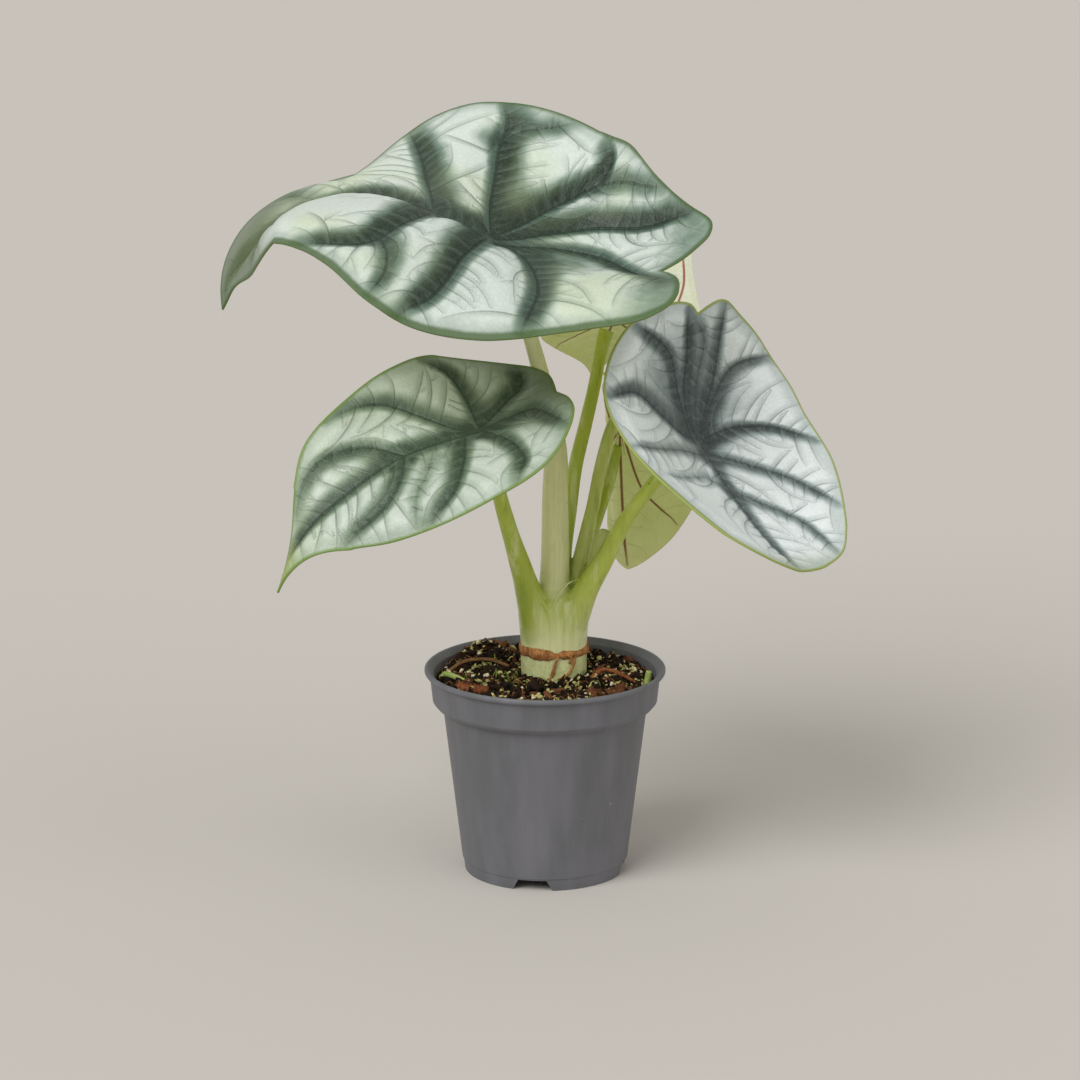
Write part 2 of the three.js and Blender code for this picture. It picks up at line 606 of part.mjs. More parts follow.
// Quilting: the blade is low along its veins and puffed up between them, and its rim curls down
function bladeRelief(leaf, veinPoints, x, y, reach) {
  let nearest = Infinity;
  for (const p of veinPoints) nearest = Math.min(nearest, Math.hypot(x - p.x, y - p.y));
  const puff = leaf.quilt * (0.6 - Math.exp(-((nearest / QUILT_WIDTH) ** 2)));
  const toRim = THREE.MathUtils.smoothstep(reach, 0.8, 1);
  return puff * (1 - 0.7 * toRim) - RIM_CURL * toRim * toRim;
}

function bladeGeometry(leaf, thickness) {
  const frame = leafFrame(leaf);
  const half = leaf.spokes / 2;
  const left = new THREE.SplineCurve(leaf.left.map(([x, y]) => new THREE.Vector2(x, y)));
  const right = new THREE.SplineCurve(leaf.right.map(([x, y]) => new THREE.Vector2(x, -y)));
  const rim = [];
  for (let i = 0; i < half; i += 1) rim.push(left.getPoint(i / half));
  for (let i = 0; i < half; i += 1) rim.push(right.getPoint(1 - i / half));
  const veinPoints = leaf.veins.flatMap((vein) => (
    new THREE.SplineCurve(vein.map((p) => new THREE.Vector2(...p))).getPoints(24)
  ));
  const faces = [thickness / 2, -thickness / 2].map((offset) => {
    const points = [];
    const addPoint = (x, y, reach) => {
      const normal = bladeNormal(leaf, frame, x, y);
      const height = bladeRelief(leaf, veinPoints, x, y, reach) + offset;
      points.push(bladePoint(leaf, frame, x, y).addScaledVector(normal, height));
    };
    addPoint(0, 0, 0);
    for (let k = 1; k <= leaf.rings; k += 1) {
      const reach = k / leaf.rings;
      for (const p of rim) addPoint(p.x * reach, p.y * reach, reach);
    }
    return points;
  });
  const perFace = faces[0].length;
  const at = (face, ring, spoke) => face * perFace + 1 + (ring - 1) * leaf.spokes + (spoke % leaf.spokes);
  const index = [];
  for (let i = 0; i < leaf.spokes; i += 1) {
    index.push(0, at(0, 1, i), at(0, 1, i + 1));
    index.push(perFace, at(1, 1, i + 1), at(1, 1, i));
    for (let k = 1; k < leaf.rings; k += 1) {
      index.push(at(0, k, i), at(0, k + 1, i), at(0, k + 1, i + 1));
      index.push(at(0, k, i), at(0, k + 1, i + 1), at(0, k, i + 1));
      index.push(at(1, k, i), at(1, k + 1, i + 1), at(1, k + 1, i));
      index.push(at(1, k, i), at(1, k, i + 1), at(1, k + 1, i + 1));
    }
    index.push(at(0, leaf.rings, i), at(1, leaf.rings, i), at(1, leaf.rings, i + 1));
    index.push(at(0, leaf.rings, i), at(1, leaf.rings, i + 1), at(0, leaf.rings, i + 1));
  }
  return indexedGeometry(faces.flat(), index);
}

const group = new THREE.Group();
const plant = new THREE.Group();
plant.position.set(POT_AXIS[0], POT_AXIS[1], 0);
group.add(plant);

function addMesh(name, geometry, colour, roughness) {
  const material = new THREE.MeshStandardMaterial({ color: colour, roughness, metalness: 0 });
  const mesh = new THREE.Mesh(geometry, material);
  mesh.name = name;
  plant.add(mesh);
}

addMesh('pot', potGeometry(), 0x636769, 0.45);
addMesh('soil', soilWithLumps(), 0x1d130c, 0.95);
addMesh('stem_base', stemGeometry(), 0xc0c98b, 0.5);
addMesh('sheath_scar', scarGeometry(), 0x8f4f2a, 0.8);

for (const [letter, leaf] of Object.entries(LEAVES)) {
  addMesh(`leaf_${letter}`, bladeGeometry(leaf, BLADE_THICKNESS), leaf.colour, 0.55);
}

// Petioles are cut clear of the stem base, of their blade and of the petioles before them
const taken = [toSolid(stemGeometry(GAP))];
for (const [letter, { route, radii, colour }] of Object.entries(PETIOLES)) {
  let body = toSolid(taperedTube(route, radii));
  for (const other of taken) body = body.subtract(other);
  body = body.subtract(toSolid(bladeGeometry(LEAVES[letter], BLADE_THICKNESS + 2 * GAP)));
  addMesh(`petiole_${letter}`, toGeometry(largestBody(body)), colour, 0.45);
  taken.push(toSolid(taperedTube(route, radii, GAP)));
}
const stubTube = toSolid(taperedTube(STUB.route, STUB.radii, 0, 8, 5));
const stub = taken.reduce((body, other) => body.subtract(other), stubTube);
addMesh('petiole_stub', toGeometry(largestBody(stub)), 0xb4b86f, 0.5);

for (const [name, litter] of Object.entries(LITTER)) {
  addMesh(name, litterGeometry(litter), litter.colour, 0.85);
}

export default group;
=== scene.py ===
import logging
import math
from dataclasses import dataclass, field
from enum import Enum
from typing import Any, Callable, Sequence

import bpy
import numpy as np
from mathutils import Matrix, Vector
from mathutils.kdtree import KDTree


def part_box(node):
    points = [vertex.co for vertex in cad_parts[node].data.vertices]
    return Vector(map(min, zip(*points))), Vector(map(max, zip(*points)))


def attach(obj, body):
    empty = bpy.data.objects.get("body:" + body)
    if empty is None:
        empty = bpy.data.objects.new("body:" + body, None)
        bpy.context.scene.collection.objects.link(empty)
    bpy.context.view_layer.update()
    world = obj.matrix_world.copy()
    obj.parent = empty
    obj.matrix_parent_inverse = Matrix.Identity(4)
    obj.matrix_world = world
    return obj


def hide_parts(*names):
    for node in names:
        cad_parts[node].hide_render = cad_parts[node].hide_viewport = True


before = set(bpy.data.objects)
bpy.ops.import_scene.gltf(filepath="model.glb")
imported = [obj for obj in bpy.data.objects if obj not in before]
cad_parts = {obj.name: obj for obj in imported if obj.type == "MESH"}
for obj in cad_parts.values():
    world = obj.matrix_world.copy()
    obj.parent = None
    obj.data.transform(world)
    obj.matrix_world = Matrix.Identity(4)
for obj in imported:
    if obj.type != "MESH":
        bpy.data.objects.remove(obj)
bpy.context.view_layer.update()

log = logging.getLogger("plant")

Point2 = tuple[float, float]
Point3 = tuple[float, float, float]
Array = np.ndarray

MM = 0.001
SAME_PLACE = 1e-6
FAR_OFF = 1e3


class Side(Enum):
    """Face of a blade."""

    UPPER = 1
    LOWER = -1


class Ends(Enum):
    """What a spline does past its first and last point."""

    HELD = "held"
    EXTENDED = "extended"


# Curves and meshes


def spline(points: Sequence[Sequence[float]], share: Array, ends: Ends) -> Array:
    """Points on a Catmull-Rom curve.

    Args:
        points: The curve's own points.
        share: How far along each wanted point lies, from 0 to 1.
        ends: What the curve does past its ends.

    Returns:
        One row for each wanted point.
    """
    given = np.asarray(points, float)
    if ends is Ends.HELD:
        first, last = given[0], given[-1]
    else:
        first, last = 2 * given[0] - given[1], 2 * given[-1] - given[-2]
    padded = np.vstack([first, given, last])
    place = np.clip(share, 0, 1) * (len(given) - 1)
    low = np.minimum(place.astype(int), len(given) - 2)
    t = (place - low)[:, None]
    p0, p1, p2, p3 = (padded[low + k] for k in range(4))
    v0, v1 = (p2 - p0) / 2, (p3 - p1) / 2
    return (2 * p1 - 2 * p2 + v0 + v1) * t**3 + (3 * p2 - 3 * p1 - 2 * v0 - v1) * t**2 + v0 * t + p1


def smoothstep(low: float, high: float, value: Array) -> Array:
    """Smooth ramp from 0 at low to 1 at high."""
    t = np.clip((value - low) / (high - low), 0, 1)
    return t * t * (3 - 2 * t)


def disc_grid(rings: int) -> tuple[Array, Array, Array]:
    """Even triangles over a disc, six more points on each ring than on the one inside it.

    Args:
        rings: Number of rings round the centre point.

    Returns:
        How far out each point lies, how far round it lies, and the triangles.
    """
    reach, turn = [np.zeros(1)], [np.zeros(1)]
    faces = []
    for k in range(1, rings + 1):
        reach.append(np.full(6 * k, k / rings))
        turn.append(np.arange(6 * k) / (6 * k))
        outer_first = 1 + 3 * k * (k - 1)
        inner_first = 1 + 3 * (k - 1) * (k - 2) if k > 1 else 0
        sector, step = np.divmod(np.arange(6 * k), k)
        outer = outer_first + sector * k + step
        outer_next = outer_first + (sector * k + step + 1) % (6 * k)
        if k == 1:
            inner = np.zeros(6, int)
        else:
            inner = inner_first + (sector * (k - 1) + step) % (6 * (k - 1))
        faces.append(np.stack([inner, outer, outer_next], 1))
        inward = step < k - 1
        if k > 1:
            inner_next = inner_first + (sector * (k - 1) + step + 1) % (6 * (k - 1))
            faces.append(np.stack([inner, outer_next, inner_next], 1)[inward])
    return np.concatenate(reach), np.concatenate(turn), np.concatenate(faces)


def mesh_piece(
    name: str, points: Array, faces: Array, marks: dict[str, Array] | None = None,
) -> bpy.types.Object:
    """Object from points in metres.

    Args:
        name: Name of the new object.
        points: One row for each point.
        faces: One row of point numbers for each face, all with as many corners.
        marks: Values for named attributes, one for each point.

    Returns:
        The new object, shaded smooth.
    """
    mesh = bpy.data.meshes.new(name)
    corners = faces.shape[1]
    mesh.vertices.add(len(points))
    mesh.vertices.foreach_set("co", points.astype(np.float32).ravel())
    mesh.loops.add(faces.size)
    mesh.loops.foreach_set("vertex_index", faces.astype(np.int32).ravel())
    mesh.polygons.add(len(faces))
    mesh.polygons.foreach_set("loop_start", np.arange(0, faces.size, corners, dtype=np.int32))
    mesh.polygons.foreach_set("use_smooth", np.ones(len(faces), bool))
    mesh.update(calc_edges=True)
    mesh.validate()
    piece = bpy.data.objects.new(name, mesh)
    bpy.context.scene.collection.objects.link(piece)
    add_marks(piece, marks or {})
    return piece


def add_marks(piece: bpy.types.Object, marks: dict[str, Array]) -> None:
    """Stores numbers on the points of a piece.

    Args:
        piece: The mesh.
        marks: One number for each point, under each name.
    """
    for name, values in marks.items():
        attribute = piece.data.attributes.new(name, "FLOAT", "POINT")
        attribute.data.foreach_set("value", values.astype(np.float32))


def points_of(piece: bpy.types.Object) -> Array:
    """Points of a mesh.

    Args:
        piece: The mesh.

    Returns:
        One row for each point, in metres.
    """
    flat = np.zeros(len(piece.data.vertices) * 3, np.float32)
    piece.data.vertices.foreach_get("co", flat)
    return flat.reshape(-1, 3).astype(float)


def placed(points: Array, axis: Vector) -> Array:
    """Metres in the shared frame, for points in millimetres from the foot of the pot axis."""
    return points * MM + np.array(axis)


def round_ring(count: int) -> Array:
    """Even angles round a full turn, in radians."""
    return np.arange(count) / count * 2 * math.pi


def interpolated(values: Sequence[float], share: Array) -> Array:
    """Values spread evenly over a length, at shares of that length."""
    return np.interp(share * (len(values) - 1), np.arange(len(values)), values)


def loft(rings: int, sides: int, closed: bool = False) -> Array:
    """Faces between rings of points.

    Args:
        rings: How many rings.
        sides: How many points each has.
        closed: True where the last ring meets the first.

    Returns:
        Four corners for each face.
    """
    low = np.arange(rings if closed else rings - 1)[:, None] * sides
    high = (low + sides) % (rings * sides)
    now, following = np.arange(sides), (np.arange(sides) + 1) % sides
    return np.stack([low + now, low + following, high + following, high + now], 2).reshape(-1, 4)


def pick(*pieces: bpy.types.Object) -> None:
    """Selects these objects alone, in object mode.

    Args:
        *pieces: What to select. The last one becomes the active one.
    """
    if bpy.context.object and bpy.context.object.mode != "OBJECT":
        bpy.ops.object.mode_set(mode="OBJECT")
    bpy.ops.object.select_all(action="DESELECT")
    for piece in pieces:
        piece.select_set(True)
        bpy.context.view_layer.objects.active = piece


def turn_outward(piece: bpy.types.Object, *mends: Callable[[], Any]) -> None:
    """Makes all faces of a closed mesh point outward.

    Args:
        piece: The mesh.
        *mends: What is done to the whole mesh in edit mode first.
    """
    pick(piece)
    bpy.ops.object.mode_set(mode="EDIT")
    bpy.ops.mesh.select_all(action="SELECT")
    for mend in mends:
        mend()
    bpy.ops.mesh.normals_make_consistent(inside=False)
    bpy.ops.object.mode_set(mode="OBJECT")


def join(name: str, pieces: Sequence[bpy.types.Object]) -> bpy.types.Object:
    """Joins meshes into one object.

    Args:
        name: Name of the joined object.
        pieces: The meshes.

    Returns:
        The joined object.
    """
    pick(*pieces)
    bpy.ops.object.join()
    joined = bpy.context.object
    joined.name = name
    joined.data.name = name
    return joined


def apply_modifier(piece: bpy.types.Object, kind: str, **settings: Any) -> None:
    """Adds a modifier and applies it.

    Args:
        piece: The mesh.
        kind: Type of the modifier.
        **settings: Its properties.
    """
    pick(piece)
    modifier = piece.modifiers.new(kind.title(), kind)
    for name, value in settings.items():
        setattr(modifier, name, value)
    bpy.ops.object.modifier_apply(modifier=modifier.name)


def tube(name: str, route: Array, radii: Array, sides: int = 12) -> bpy.types.Object:
    """Round tube through points in metres.

    Args:
        name: Name of the new object.
        route: Points of the centre line.
        radii: Radius at each point, in metres.
        sides: Corners round the tube.

    Returns:
        The tube as a closed mesh.
    """
    data = bpy.data.curves.new(name, "CURVE")
    data.dimensions = "3D"
    data.bevel_depth = 1.0
    data.bevel_resolution = max(0, sides // 2 - 2)
    data.use_fill_caps = True
    line = data.splines.new("POLY")
    line.points.add(len(route) - 1)
    line.points.foreach_set("co", np.hstack([route, np.ones((len(route), 1))]).ravel())
    line.points.foreach_set("radius", radii)
    piece = bpy.data.objects.new(name, data)
    bpy.context.scene.collection.objects.link(piece)
    pick(piece)
    bpy.ops.object.convert(target="MESH")
    piece = bpy.context.object
    turn_outward(piece, lambda: bpy.ops.mesh.remove_doubles(threshold=SAME_PLACE))
    bpy.ops.object.shade_smooth()
    return piece


def finished(
    piece: bpy.types.Object, material: bpy.types.Material, slot: str, *nodes: str,
) -> bpy.types.Object:
    """Dresses a piece, ties it to the frame and reports it.

    Args:
        piece: The finished mesh.
        material: What it is made of.
        slot: Not used.
        *nodes: CAD nodes that it stands for.

    Returns:
        The piece.
    """
    piece.data.materials.clear()
    piece.data.materials.append(material)
    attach(piece, "root")
    if nodes:
        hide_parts(*nodes)
    faces = sum(len(p.vertices) - 2 for p in piece.data.polygons)
    log.info("%s: %d triangles", piece.name, faces)
    return piece


# Shaders


def linear(colour: str) -> tuple[float, float, float, float]:
    """Linear colour of a hex code such as "d9e2dc"."""
    parts = [int(colour[k:k + 2], 16) / 255 for k in (0, 2, 4)]
    return (*(c / 12.92 if c <= 0.04045 else ((c + 0.055) / 1.055) ** 2.4 for c in parts), 1.0)


@dataclass
class Value:
    """A number from a shader socket, for arithmetic."""

    shader: "Shader"
    socket: bpy.types.NodeSocket

    def maths(self, operation: str, *values: Any) -> "Value":
        """Result of one Math node."""
        node = self.shader.node("ShaderNodeMath", {"operation": operation}, dict(enumerate(values)))
        return Value(self.shader, node.outputs[0])

    def __add__(self, other: Any) -> "Value":
        """Sum."""
        return self.maths("ADD", self, other)

    __radd__ = __add__

    def __mul__(self, other: Any) -> "Value":
        """Product."""
        return self.maths("MULTIPLY", self, other)

    __rmul__ = __mul__

    def __sub__(self, other: Any) -> "Value":
        """Difference."""
        return self.maths("SUBTRACT", self, other)

    def __rsub__(self, other: Any) -> "Value":
        """Difference the other way."""
        return self.maths("SUBTRACT", other, self)

    def size(self) -> "Value":
        """Value without its sign."""
        return self.maths("ABSOLUTE", self)

    def ramp(self, low: float, high: float) -> "Value":
        """Smooth ramp, up or down.

        Args:
            low: Where the ramp is 0.
            high: Where it is 1. It falls where this is the smaller of the two.

        Returns:
            A value from 0 to 1.
        """
        flip = low > high
        ends = (high, low) if flip else (low, high)
        inputs = {
            "Value": self, "From Min": ends[0], "From Max": ends[1],
            "To Min": float(flip), "To Max": float(not flip),
        }
        node = self.shader.node("ShaderNodeMapRange", {"interpolation_type": "SMOOTHSTEP"}, inputs)
        return Value(self.shader, node.outputs[0])


@dataclass
class Shader:
    """A material and the nodes that are added to it."""

    name: str
    material: bpy.types.Material = field(init=False)

    def __post_init__(self) -> None:
        """Starts an empty material with its main shader and its output."""
        self.material = bpy.data.materials.new(self.name)
        self.material.use_nodes = True
        self.material.node_tree.nodes.clear()
        self.surface = self.node("ShaderNodeBsdfPrincipled")
        self.node("ShaderNodeOutputMaterial", inputs={"Surface": self.surface.outputs[0]})

    def node(
        self, kind: str, settings: dict[str, Any] | None = None, inputs: dict[Any, Any] | None = None,
    ) -> bpy.types.Node:
        """Adds a node.

        Args:
            kind: Type of the node.
            settings: Its properties, with colour ramp stops under "stops".
            inputs: Numbers, colours, sockets or values for its inputs, by name or place.

        Returns:
            The new node.
        """
        node = self.material.node_tree.nodes.new(kind)
        for name, value in (settings or {}).items():
            if name == "stops":
                self._set_stops(node.color_ramp, value)
            else:
                setattr(node, name, value)
        for name, value in (inputs or {}).items():
            self.feed(node.inputs[name], value)
        return node

    @staticmethod
    def _set_stops(colour_ramp: bpy.types.ColorRamp, stops: Sequence[tuple[float, str]]) -> None:
        """Gives a colour ramp its stops.

        Args:
            colour_ramp: The ramp.
            stops: Place and hex colour of each stop.
        """
        elements = colour_ramp.elements
        while len(elements) < len(stops):
            elements.new(1.0)
        for element, (place, colour) in zip(elements, stops):
            element.position = place
            element.color = linear(colour)

    def feed(self, socket: bpy.types.NodeSocket, value: Any) -> None:
        """Links or sets an input.

        Args:
            socket: The input.
            value: A value, a socket, a hex colour or plain numbers.
        """
        if isinstance(value, Value):
            value = value.socket
        if isinstance(value, bpy.types.NodeSocket):
            self.material.node_tree.links.new(value, socket)
        elif isinstance(value, str):
            socket.default_value = linear(value)
        else:
            socket.default_value = value

    def mark(self, name: str) -> Value:
        """A number stored on the mesh."""
        return Value(self, self.node("ShaderNodeAttribute", {"attribute_name": name}).outputs["Fac"])

    def place(self) -> bpy.types.NodeSocket:
        """Object coordinates in metres."""
        return self.node("ShaderNodeTexCoord").outputs["Object"]

    def stretched(self, shrink: float) -> bpy.types.NodeSocket:
        """Object coordinates that are drawn out along the height."""
        inputs = {"Vector": self.place(), "Scale": (1.0, 1.0, shrink)}
        return self.node("ShaderNodeMapping", {"vector_type": "POINT"}, inputs).outputs[0]

    def vector(self, x: Any, y: Any, z: Any) -> bpy.types.NodeSocket:
        """Vector of three numbers."""
        return self.node("ShaderNodeCombineXYZ", inputs={0: x, 1: y, 2: z}).outputs[0]

    def noise(self, where: Any, scale: float, detail: float = 2.0, rough: float = 0.5) -> Value:
        """Cloudy noise from 0 to 1."""
        inputs = {"Vector": where, "Scale": scale, "Detail": detail, "Roughness": rough}
        return Value(self, self.node("ShaderNodeTexNoise", inputs=inputs).outputs[0])

    def cells(self, where: Any, scale: float, feature: str = "DISTANCE_TO_EDGE") -> Value:
        """Distance within a net of cells."""
        node = self.node("ShaderNodeTexVoronoi", {"feature": feature}, {"Vector": where, "Scale": scale})
        return Value(self, node.outputs["Distance"])

    def blend(self, share: Any, first: Any, second: Any) -> bpy.types.NodeSocket:
        """Mix of two colours."""
        node = self.node("ShaderNodeMix", {"data_type": "RGBA"}, {0: share, 6: first, 7: second})
        return node.outputs[2]

    def layered(self, colour: Any, *layers: tuple[Any, Any]) -> bpy.types.NodeSocket:
        """Lays colours over a colour.

        Args:
            colour: The lowest.
            *layers: Share and colour of each layer over it.

        Returns:
            The colour of them all.
        """
        for share, tint in layers:
            colour = self.blend(share, colour, tint)
        return colour

    def colours(self, share: Any, *stops: tuple[float, str]) -> bpy.types.NodeSocket:
        """Colour ramp."""
        return self.node("ShaderNodeValToRGB", {"stops": stops}, {0: share}).outputs[0]

    def finish(
        self, colour: Any, roughness: Any, bump: Any = None, depth: float = 0.0, **others: Any,
    ) -> bpy.types.Material:
        """Feeds the main shader.

        Args:
            colour: Base colour.
            roughness: Roughness.
            bump: Height for a bump, if any.
            depth: How deep the bump is, in metres.
            **others: Other inputs by name, with _ for a space.

        Returns:
            The material.
        """
        self.feed(self.surface.inputs["Base Color"], colour)
        self.feed(self.surface.inputs["Roughness"], roughness)
        if bump is not None:
            node = self.node("ShaderNodeBump", inputs={"Strength": 1.0, "Distance": depth, "Height": bump})
            self.feed(self.surface.inputs["Normal"], node.outputs[0])
        for name, value in others.items():
            self.feed(self.surface.inputs[name.replace("_", " ")], value)
        return self.material


@dataclass
class BladeMarks:
    """What the finish of a blade reads: the marks on its mesh, and noise over its flat drawing.

    Each pair says how far from a vein a mark is gone and how far from it the mark is full, in millimetres.
    """

    shader: Shader
    streak_slant: float = 0.45
    line_width: Point2 = (0.27, 0.06)
    line_end: Point2 = (1.1, 0.6)
    core_width: Point2 = (0.55, 0.12)
    core_end: Point2 = (1.0, 0.6)

    def __post_init__(self) -> None:
        """Adds the nodes that the parts of the finish share."""
        shader, mark = self.shader, self.shader.mark
        self.flat = shader.node("ShaderNodeUVMap", {"uv_map": "flat"}).outputs[0]
        self.band = mark("band")
        self.vein = mark("vein_side").size()
        self.vein_far, self.vein_depth = mark("vein_far"), mark("vein_depth")
        self.crease, self.crease_far = mark("crease_side"), mark("crease_far")
        self.crease_depth = mark("crease_depth")
        self.cloud = shader.noise(self.flat, scale=160.0, detail=4.0, rough=0.6) - 0.5
        self.grain = shader.noise(self.flat, scale=1500.0)
        self.fine_net = shader.cells(self.flat, scale=620.0).ramp(0.0, 0.16)
        self.open_band = (self.band * (1.0 - self.band)) * 4.0
        run = mark("vein_run") - self.vein_far * self.streak_slant
        streak_place = shader.vector(run * 1.6, self.vein_far * 0.13, mark("vein_number"))
        streak = shader.noise(streak_place, scale=1.0, detail=3.0, rough=0.62) - 0.5
        self.streak = streak * mark("seam").ramp(0.0, 1.2)
        line = self.crease.size().ramp(*self.line_width) * self.crease_far.ramp(*self.line_end)
        self.line = line * self.crease_depth
        self.core = self.vein.ramp(*self.core_width) * self.vein_far.ramp(*self.core_end) * self.vein_depth


@dataclass(frozen=True)
class BladeFinish:
    """Colours of a leaf: silver above with dark bands along its veins, pale below.

    The line is how dark the side veins are drawn, and the strip how far the colour of the edge runs in, in
    millimetres. The glow is painted light: the lower face gives off light in its own colours, standing for
    the light that a thin leaf lets through.
    """

    name: str
    silver: str
    tinge: str
    middle: str
    dark: str
    deepest: str
    # Band colour on the lit side of a vein: painted light.
    cool: str
    tip: str
    under: str
    under_dark: str
    under_vein: str
    edge: str
    line: float = 0.3
    strip: float = 0.8
    glow: float = 0.0
    # Reach of the painted shade beside each side vein.
    shade_width: Point2 = (2.3, 0.1)
    shade_end: Point2 = (2.4, 1.2)
    under_width: Point2 = (0.42, 0.16)
    under_end: Point2 = (1.3, 0.8)
    rim_width: Point2 = (4.5, 0.6)
    bump_depth: float = 0.00025

    def material(self) -> bpy.types.Material:
        """Builds the material.

        Returns:
            A material that reads the marks of a leaf blade.
        """
        shader = Shader(self.name)
        marks = BladeMarks(shader)
        upper, lower = self._upper(marks), self._lower(marks)
        colour = shader.blend(shader.mark("lower"), upper, lower)
        colour = shader.blend(shader.mark("edge") * 0.8, colour, self.edge)
        height = marks.grain * 0.16 + marks.fine_net * 0.14 - marks.line * (1.0 - marks.band * 0.6) * 0.9
        height = height - marks.core * 0.5 + marks.streak * marks.open_band * 0.7
        others: dict[str, Any] = {"Specular_IOR_Level": 0.3}
        # Painted light: the lower face glows in its own colours.
        if self.glow:
            others["Emission_Color"] = shader.blend(shader.mark("lower"), "000000", lower)
            others["Emission_Strength"] = self.glow
        return shader.finish(colour, marks.grain * 0.10 + 0.36, height, self.bump_depth, **others)

    def _upper(self, marks: BladeMarks) -> bpy.types.NodeSocket:
        """Silver that turns dark toward the veins, steeply on their shaded side and gently on their lit side:
        painted shade and painted light.

        Each side vein is a thin line with a painted shade on its outer side. The margin turns toward the
        middle colour, with a thin strip of its own.

        Args:
            marks: What the mesh and the noise give.

        Returns:
            The colour of the upper face.
        """
        shader, band, cloud = marks.shader, marks.band, marks.cloud
        depth = band + marks.streak * marks.open_band * 0.16 + cloud * (marks.open_band * 0.26 + 0.14)
        # steep is the band on its vein's shaded side and gentle the band on its lit side: painted shade and
        # painted light. The mark shaded chooses between them.
        steep = shader.colours(
            depth, (0.0, self.silver), (0.05, self.silver), (0.32, self.middle), (0.58, self.dark),
            (0.84, self.deepest),
        )
        gentle = shader.colours(
            depth, (0.0, self.silver), (0.14, self.silver), (0.45, self.middle), (0.78, self.cool),
        )
        # Painted shade beside each side vein, strongest on its outer side.
        shade = marks.crease.size().ramp(*self.shade_width) * marks.crease_depth
        shade = shade * marks.crease_far.ramp(*self.shade_end) * (1.0 - band * 0.7)
        outer = marks.crease.ramp(-0.15, 0.3)
        rim = shader.mark("rim")
        return shader.layered(
            shader.blend(shader.mark("shaded"), gentle, steep),
            (shader.noise(marks.flat, scale=28.0).ramp(0.46, 0.68) * (1.0 - band) * 0.5, self.tinge),
            (shade * (outer * 0.64 + 0.10), self.middle),
            (marks.line * (1.0 - band * 0.6) * self.line, self.dark),
            ((1.0 - marks.fine_net) * 0.08, self.middle),
            (marks.core * 0.62, self.deepest),
            (shader.mark("tip") * 0.85, self.tip),
            ((rim + cloud * 5.0).ramp(*self.rim_width) * 0.45, self.middle),
            ((rim + cloud * self.strip).ramp(self.strip * 1.3, 0.1) * 0.85, self.edge),
        )

    def _lower(self, marks: BladeMarks) -> bpy.types.NodeSocket:
        """Pale green with fine veins.

        Args:
            marks: What the mesh and the noise give.

        Returns:
            The colour of the lower face.
        """
        shader = marks.shader
        colour = shader.blend(shader.noise(marks.flat, scale=60.0, detail=3.0), self.under, self.under_dark)
        vein = marks.vein.ramp(*self.under_width) * marks.vein_far.ramp(*self.under_end) * marks.vein_depth
        return shader.layered(colour, (marks.line * 0.35, self.under_dark), (vein * 0.9, self.under_vein))


@dataclass(frozen=True)
class StemFinish:
    """Pale greens of the stem base and the petioles."""

    pale: str
    leafy: str
    deep: str
    # Colour of the stem's own specks and of the painted shade in the grooves between stems.
    speck_and_shade: str
    bump_depth: float = 0.00012

    def material(self) -> bpy.types.Material:
        """Builds the material.

        Returns:
            A material that reads the marks of the stems.
        """
        shader = Shader("petiole skin")
        place, drawn_out = shader.place(), shader.stretched(0.12)
        leafy, base = shader.mark("leafy"), shader.mark("base")
        lines = shader.noise(drawn_out, scale=1400.0, detail=3.0, rough=0.6)
        # Lengthwise streaks: the dark ones are the petioles' own colour, the pale ones painted highlights.
        streaks_and_highlights = shader.noise(drawn_out, scale=330.0, detail=3.0, rough=0.6)
        cloud = shader.noise(place, scale=120.0, detail=3.0)
        mottle = shader.noise(place, scale=420.0, detail=4.0, rough=0.7)
        specks = shader.cells(place, scale=230.0, feature="F1").ramp(0.10, 0.05)
        specks = specks * shader.noise(place, scale=60.0).ramp(0.5, 0.6)
        colour = shader.layered(
            shader.blend(leafy, self.pale, self.leafy),
            (shader.mark("deep") * 0.75, self.deep),
            (streaks_and_highlights.ramp(0.46, 0.3) * leafy * 0.5, self.deep),
            # Painted highlights: pale streaks along the petioles.
            (streaks_and_highlights.ramp(0.52, 0.7) * 0.5, self.pale),
            (base * 0.22, self.leafy),
            (lines.ramp(0.42, 0.8) * 0.16 + cloud.ramp(0.4, 0.75) * 0.10, self.deep),
            (base * mottle.ramp(0.4, 0.72) * 0.5, self.deep),
            (specks * 0.6, self.speck_and_shade),
            # Painted shade where two stems meet.
            (shader.mark("furrow_shade") * 0.65, self.speck_and_shade),
        )
        bump = lines * 0.7 + mottle * base * 2.0
        return shader.finish(colour, cloud * 0.1 + 0.24, bump, self.bump_depth, Specular_IOR_Level=0.55)


@dataclass(frozen=True)
class GroundFinish:
    """A crumbly, fibrous or stony finish with a light and a dark colour."""

    name: str
    light: str
    dark: str
    scale: float
    roughness: float
    depth: float

    def material(self) -> bpy.types.Material:
        """Builds the material.

        Returns:
            A material that reads how light each lump is.
        """
        shader = Shader(self.name)
        coarse = shader.noise(shader.place(), self.scale, detail=5.0, rough=0.65)
        share = coarse.ramp(0.32, 0.68) * 0.6 + shader.mark("shade") * 0.4
        colour = shader.blend(share, self.dark, self.light)
        return shader.finish(colour, self.roughness, coarse, self.depth, Specular_IOR_Level=0.25)


